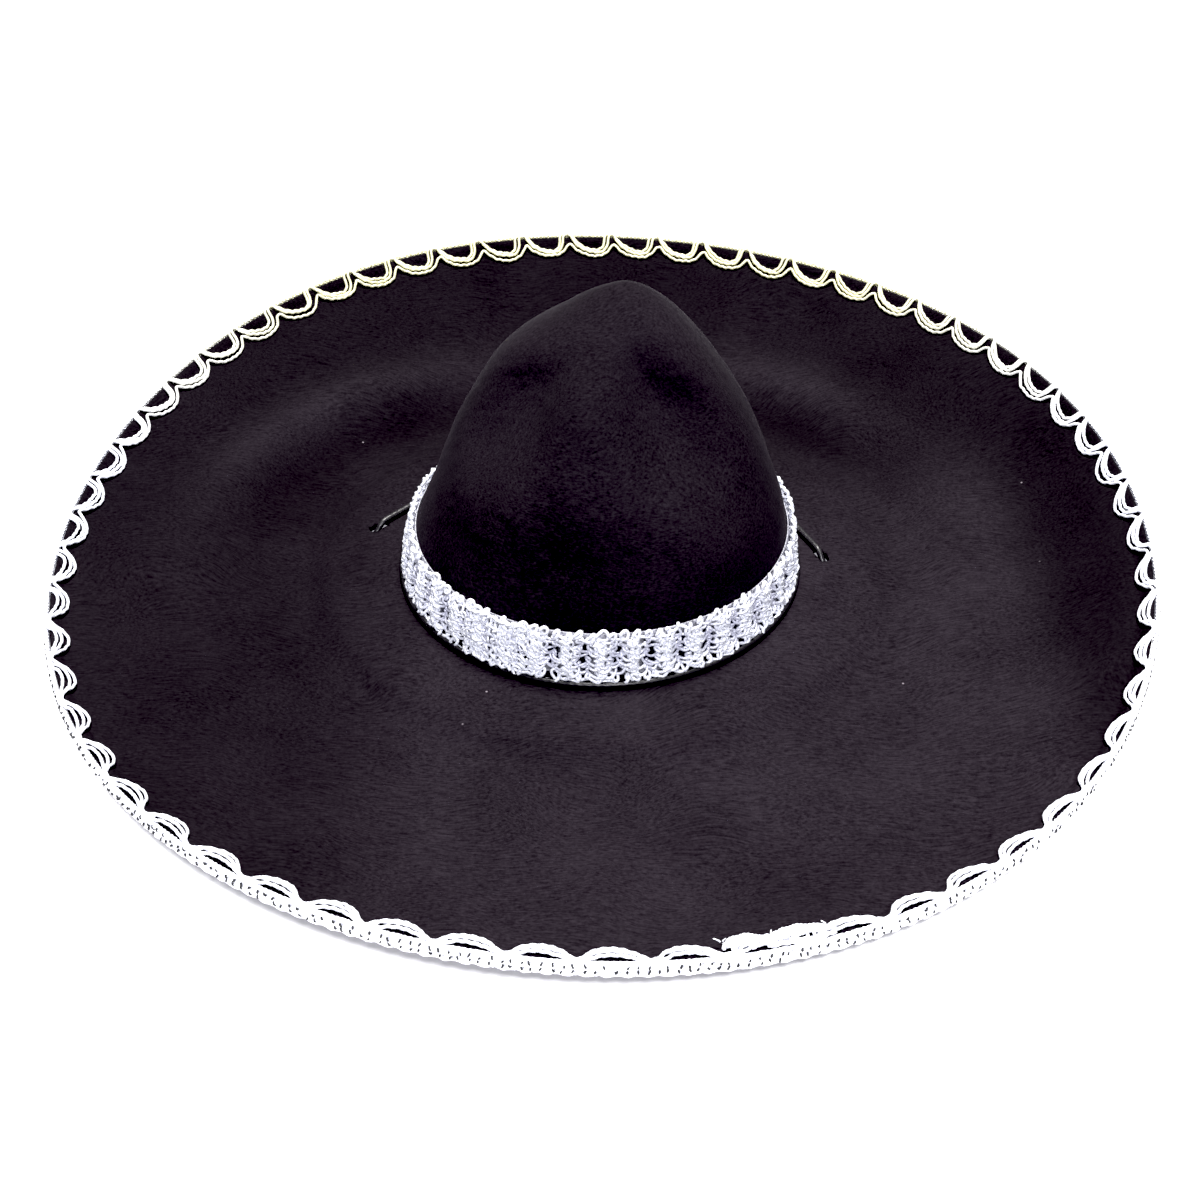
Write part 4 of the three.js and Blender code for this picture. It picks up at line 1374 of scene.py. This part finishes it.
def cord(name, route, material):
    """A cord along a route. Gives the piece and its path."""
    rough = spline(route, 1200)
    path = evenly(rough, int(along(rough)[-1] / CORD_RING))
    shape = Shape()
    cord_tube(shape, path, CORD_RADIUS)
    return shape.build(name, material), path


# ---- Slider and knot ----

SLIDER_X = (8 * MM, 20 * MM)
SLIDER_HALF_WIDTH = 6.7 * MM
SLIDER_HALF_HEIGHT = 3.2 * MM
STRAND_OFFSET = 3 * MM
STRAND_Z = 3.4 * MM
SLIDER_STEPS = 64

# Half of a bore along X, in millimetres: the place from the slider's end, and the bore's radius.
BORE_MOUTH = [(-1, 3.0), (0, 2.7), (0.5, 2.2), (1.2, 2.05)]
BORE_STEPS = 32


def stadium(half_width, half_height, steps):
    """A flat-sided rounded outline, as points in Y and Z."""
    turn = np.arange(steps) / steps * TAU
    straight = half_width - half_height
    y = half_height * np.cos(turn) + straight * np.tanh(6 * np.cos(turn))
    return np.stack([y, half_height * np.sin(turn)], axis=-1)


def slider(material):
    """A moulded two-hole slider with a gripped waist and eased bores."""
    shape = Shape()
    length = SLIDER_X[1] - SLIDER_X[0]
    shares = np.concatenate([[0, 0.02, 0.06, 0.12], np.linspace(0.2, 0.8, 25), [0.88, 0.94, 0.98, 1]])
    rings = []
    for share in shares:
        ease = 0.9 * MM * (1 - math.sqrt(1 - min(1, (abs(2 * share - 1)) ** 14)))
        grip = 0.28 * MM * (0.5 + 0.5 * math.cos(share * TAU * 6)) if 0.2 <= share <= 0.8 else 0
        outline = stadium(SLIDER_HALF_WIDTH - ease - grip, SLIDER_HALF_HEIGHT - ease - grip, SLIDER_STEPS)
        x = np.full(SLIDER_STEPS, SLIDER_X[0] + share * length)
        rings.append(np.column_stack([x, outline[:, 0], STRAND_Z + outline[:, 1]]))
    shape.grid(np.array(rings), (False, True), (length, 0.04))
    block = shape.build("cord_slider_block", material)
    close_ends(block, SLIDER_STEPS)
    cut(block, [bore_cutter(side) for side in (-1, 1)])
    return piece(block, "slider", "cord_slider", body="slider")


def bore_cutter(side):
    """A bore along X that opens out at both mouths."""
    shape = Shape()
    turn = np.arange(BORE_STEPS) / BORE_STEPS * TAU
    far_mouth = [(12 - x, radius) for x, radius in reversed(BORE_MOUTH)]
    rings = []
    for x, radius in BORE_MOUTH + far_mouth:
        y = side * STRAND_OFFSET + radius * MM * np.cos(turn)
        z = STRAND_Z + radius * MM * np.sin(turn)
        rings.append(np.column_stack([np.full(BORE_STEPS, SLIDER_X[0] + x * MM), y, z]))
    shape.grid(np.array(rings), (False, True))
    return close_ends(shape.build("bore", bpy.data.materials.new("bore")), BORE_STEPS)


def knot_path(side):
    """One strand of the overhand knot: in along X, round over itself, and out to a short end."""
    gap = side * 1.0
    return np.array([
        (-58.6, side * 3.0, 3.4), (-60.4, 2.6 * side, 3.9), (-63.0, 3.2 + gap, 5.3),
        (-66.5, 3.6 + gap, 5.5), (-69.3, 1.0 + gap, 4.9), (-69.4, -2.6 + gap, 3.6),
        (-66.8, -4.2 + gap * 0.6, 2.4), (-63.2, -3.2 + gap * 0.6, 2.3), (-62.0, -0.2 + gap, 2.4),
        (-64.0, 1.8 + gap, 2.5), (-67.6, 1.2 + gap * 1.4, 2.7), (-71.2, side * 2.2, 3.1),
        (-76.4, side * 3.6, 2.4), (-86.2, side * 6.5, 1.75),
    ]) * MM


def knot(material):
    """Both strands tied in one overhand knot, pulled tight, with two short ends."""
    shape = Shape()
    for side in (-1, 1):
        path = spline(knot_path(side), 130)
        distance = along(path) / along(path)[-1]
        squeeze = 1 - 0.16 * np.exp(-(((distance - 0.42) / 0.22) ** 2))
        cord_tube(shape, path, CORD_RADIUS * squeeze)
    return piece(shape.build("cord_knot_strands", material), "cord", "cord_knot")


# ---- Sweatband and label ----

RIBS = 700
RIB_DEPTH = 0.07 * MM
# The ribbon's section in mm: its distance from the felt's side, and its height.
RIBBON_SECTION = [(-0.62, 8.2), (-0.08, 8.2), (-0.08, 33.8), (-0.62, 33.8)]
LABEL_HALF = 19 * MM
LABEL_TOP = 32.6
LABEL_DROP = 21.2
LABEL_THICK = 0.22 * MM
LABEL_RADIUS = 90 * MM  # of the ribbon behind it, to turn its width into an angle
STITCH_BOW = np.array([-0.12, 0.06, 0.12, 0.15, 0.12, 0.06, -0.12]) * MM


def sweatband(material):
    """Ribbed ribbon sewn inside the opening."""
    shape = Shape()
    angle = np.linspace(0, TAU, RIBS * 3, endpoint=False)[:, None]
    section = rounded_outline(np.array(RIBBON_SECTION) * MM, 0.2 * MM, 3.2 * MM)
    depth, z = section[None, :, 0], section[None, :, 1]
    rib = RIB_DEPTH * np.cos(angle * RIBS)
    radius = SWEATBAND_OUTER + depth + rib * (depth < -0.3 * MM)
    shape.grid(polar(radius, angle, z, crown_lean(z)), (True, True), (0.57, 0.055))
    return piece(shape.build("sweatband_ribbon", material), "ribbon", "sweatband")


def stitch_row(name, material, z, degrees_from, degrees_to, pitch, radius):
    """A row of short sewn stitches round the inside of the sweatband."""
    shape = Shape()
    count = int(math.radians(degrees_to - degrees_from) * radius / pitch)
    for number in range(count):
        start = math.radians(degrees_from) + number * pitch / radius
        angle = start + np.linspace(0, 0.68, 7) * pitch / radius
        path = polar(radius - STITCH_BOW, angle, z, crown_lean(z))
        shape.tube(path, UP, 0.16 * MM, sides=6)
    return piece(shape.build(name, material), "ribbon")


def care_label(material):
    """A blank satin label, sewn along its top and a little curled at its lower corners."""
    shape = Shape()
    across, down = np.meshgrid(np.linspace(-1, 1, 41), np.linspace(0, 1, 25), indexing="ij")
    curl = 1.1 * MM * down**3 * np.abs(across) ** 3 + 0.15 * MM * np.sin(3 * across + 2) * down
    z = (LABEL_TOP - LABEL_DROP * down) * MM
    angle = math.pi / 2 - across * LABEL_HALF / LABEL_RADIUS
    radius = SWEATBAND_OUTER - 1.1 * MM - curl
    front, back = (polar(radius - depth, angle, z, crown_lean(z)) for depth in (0, LABEL_THICK))
    shape.grid(front, size=(0.038, 0.021))
    shape.grid(back, size=(0.038, 0.021), flip=True)
    for edge_front, edge_back in (
        (front[0], back[0]),
        (back[-1], front[-1]),
        (back[:, 0], front[:, 0]),
        (front[:, -1], back[:, -1]),
    ):
        shape.grid(np.stack([edge_front, edge_back]))
    return piece(weld(shape.build("care_label_tape", material)), "label", "care_label")


# ---- The whole hat ----


def build_cords(material, plastic):
    """The cord, its slider and its knot. Says which way the cord heads into each hole."""
    left_touch, right_touch = touch_degrees(LEFT_HOLE, -1), touch_degrees(RIGHT_HOLE, 1)
    left_heading, right_heading = heading_to(LEFT_HOLE, left_touch), heading_to(RIGHT_HOLE, right_touch)
    route = wrap_route(left_touch, right_touch, left_heading, right_heading)
    wrap, _ = cord("cord_round_crown", route, material)
    piece(wrap, "cord", "chin_cord_wrap")
    slide = slider(plastic)
    tied = knot(material)
    for name, points, pieces in (("left", LEFT_ROUTE, [slide, tied]), ("right", RIGHT_ROUTE, [])):
        thing, path = cord(f"chin_cord_{name}_side", points, material)
        piece(thing, "cord", f"chin_cord_{name}")
    return left_heading, right_heading


def build():
    """The camera and the cords first, and the lamps last, once all that they light is there."""
    add_camera()
    left_heading, right_heading = build_cords(cord_material(), slider_material())
    floor = add_floor()
    brim(felt_material("brim_felt", 7.5 * MM, 0.9 * MM, 0.09, 0.4 * MM), left_heading, right_heading)
    crown(felt_material("crown_felt", 2.2 * MM, 0.9 * MM, 0.05, 0.22 * MM))
    silver = tinsel_material()
    silver_pieces = [*rim_loops(silver), edge_braid(silver), edge_teeth(silver), trim_join(silver)]
    silver_pieces += [*lace_band(silver), lace_ribs(silver), band_join(silver)]
    black_thread = thread_material("black_thread", THREAD_BLACK)
    braid_sewing(black_thread)
    lace_ground(lace_net_and_shade_material())
    ribbon = sweatband(ribbon_material())
    white_thread = thread_material("white_thread", THREAD_WHITE)
    stitch_row("sweatband_stitches", black_thread, 10.2 * MM, 0, 360, 3.2 * MM, SWEATBAND_OUTER - 0.72 * MM)
    label = care_label(label_material())
    spread = math.degrees(LABEL_HALF / LABEL_RADIUS) - 0.8
    row = (31.6 * MM, 90 - spread, 90 + spread, 2.2 * MM, SWEATBAND_OUTER - 1.38 * MM)
    stitch_row("label_stitches", white_thread, *row)
    add_light(silver_pieces, floor)


build()
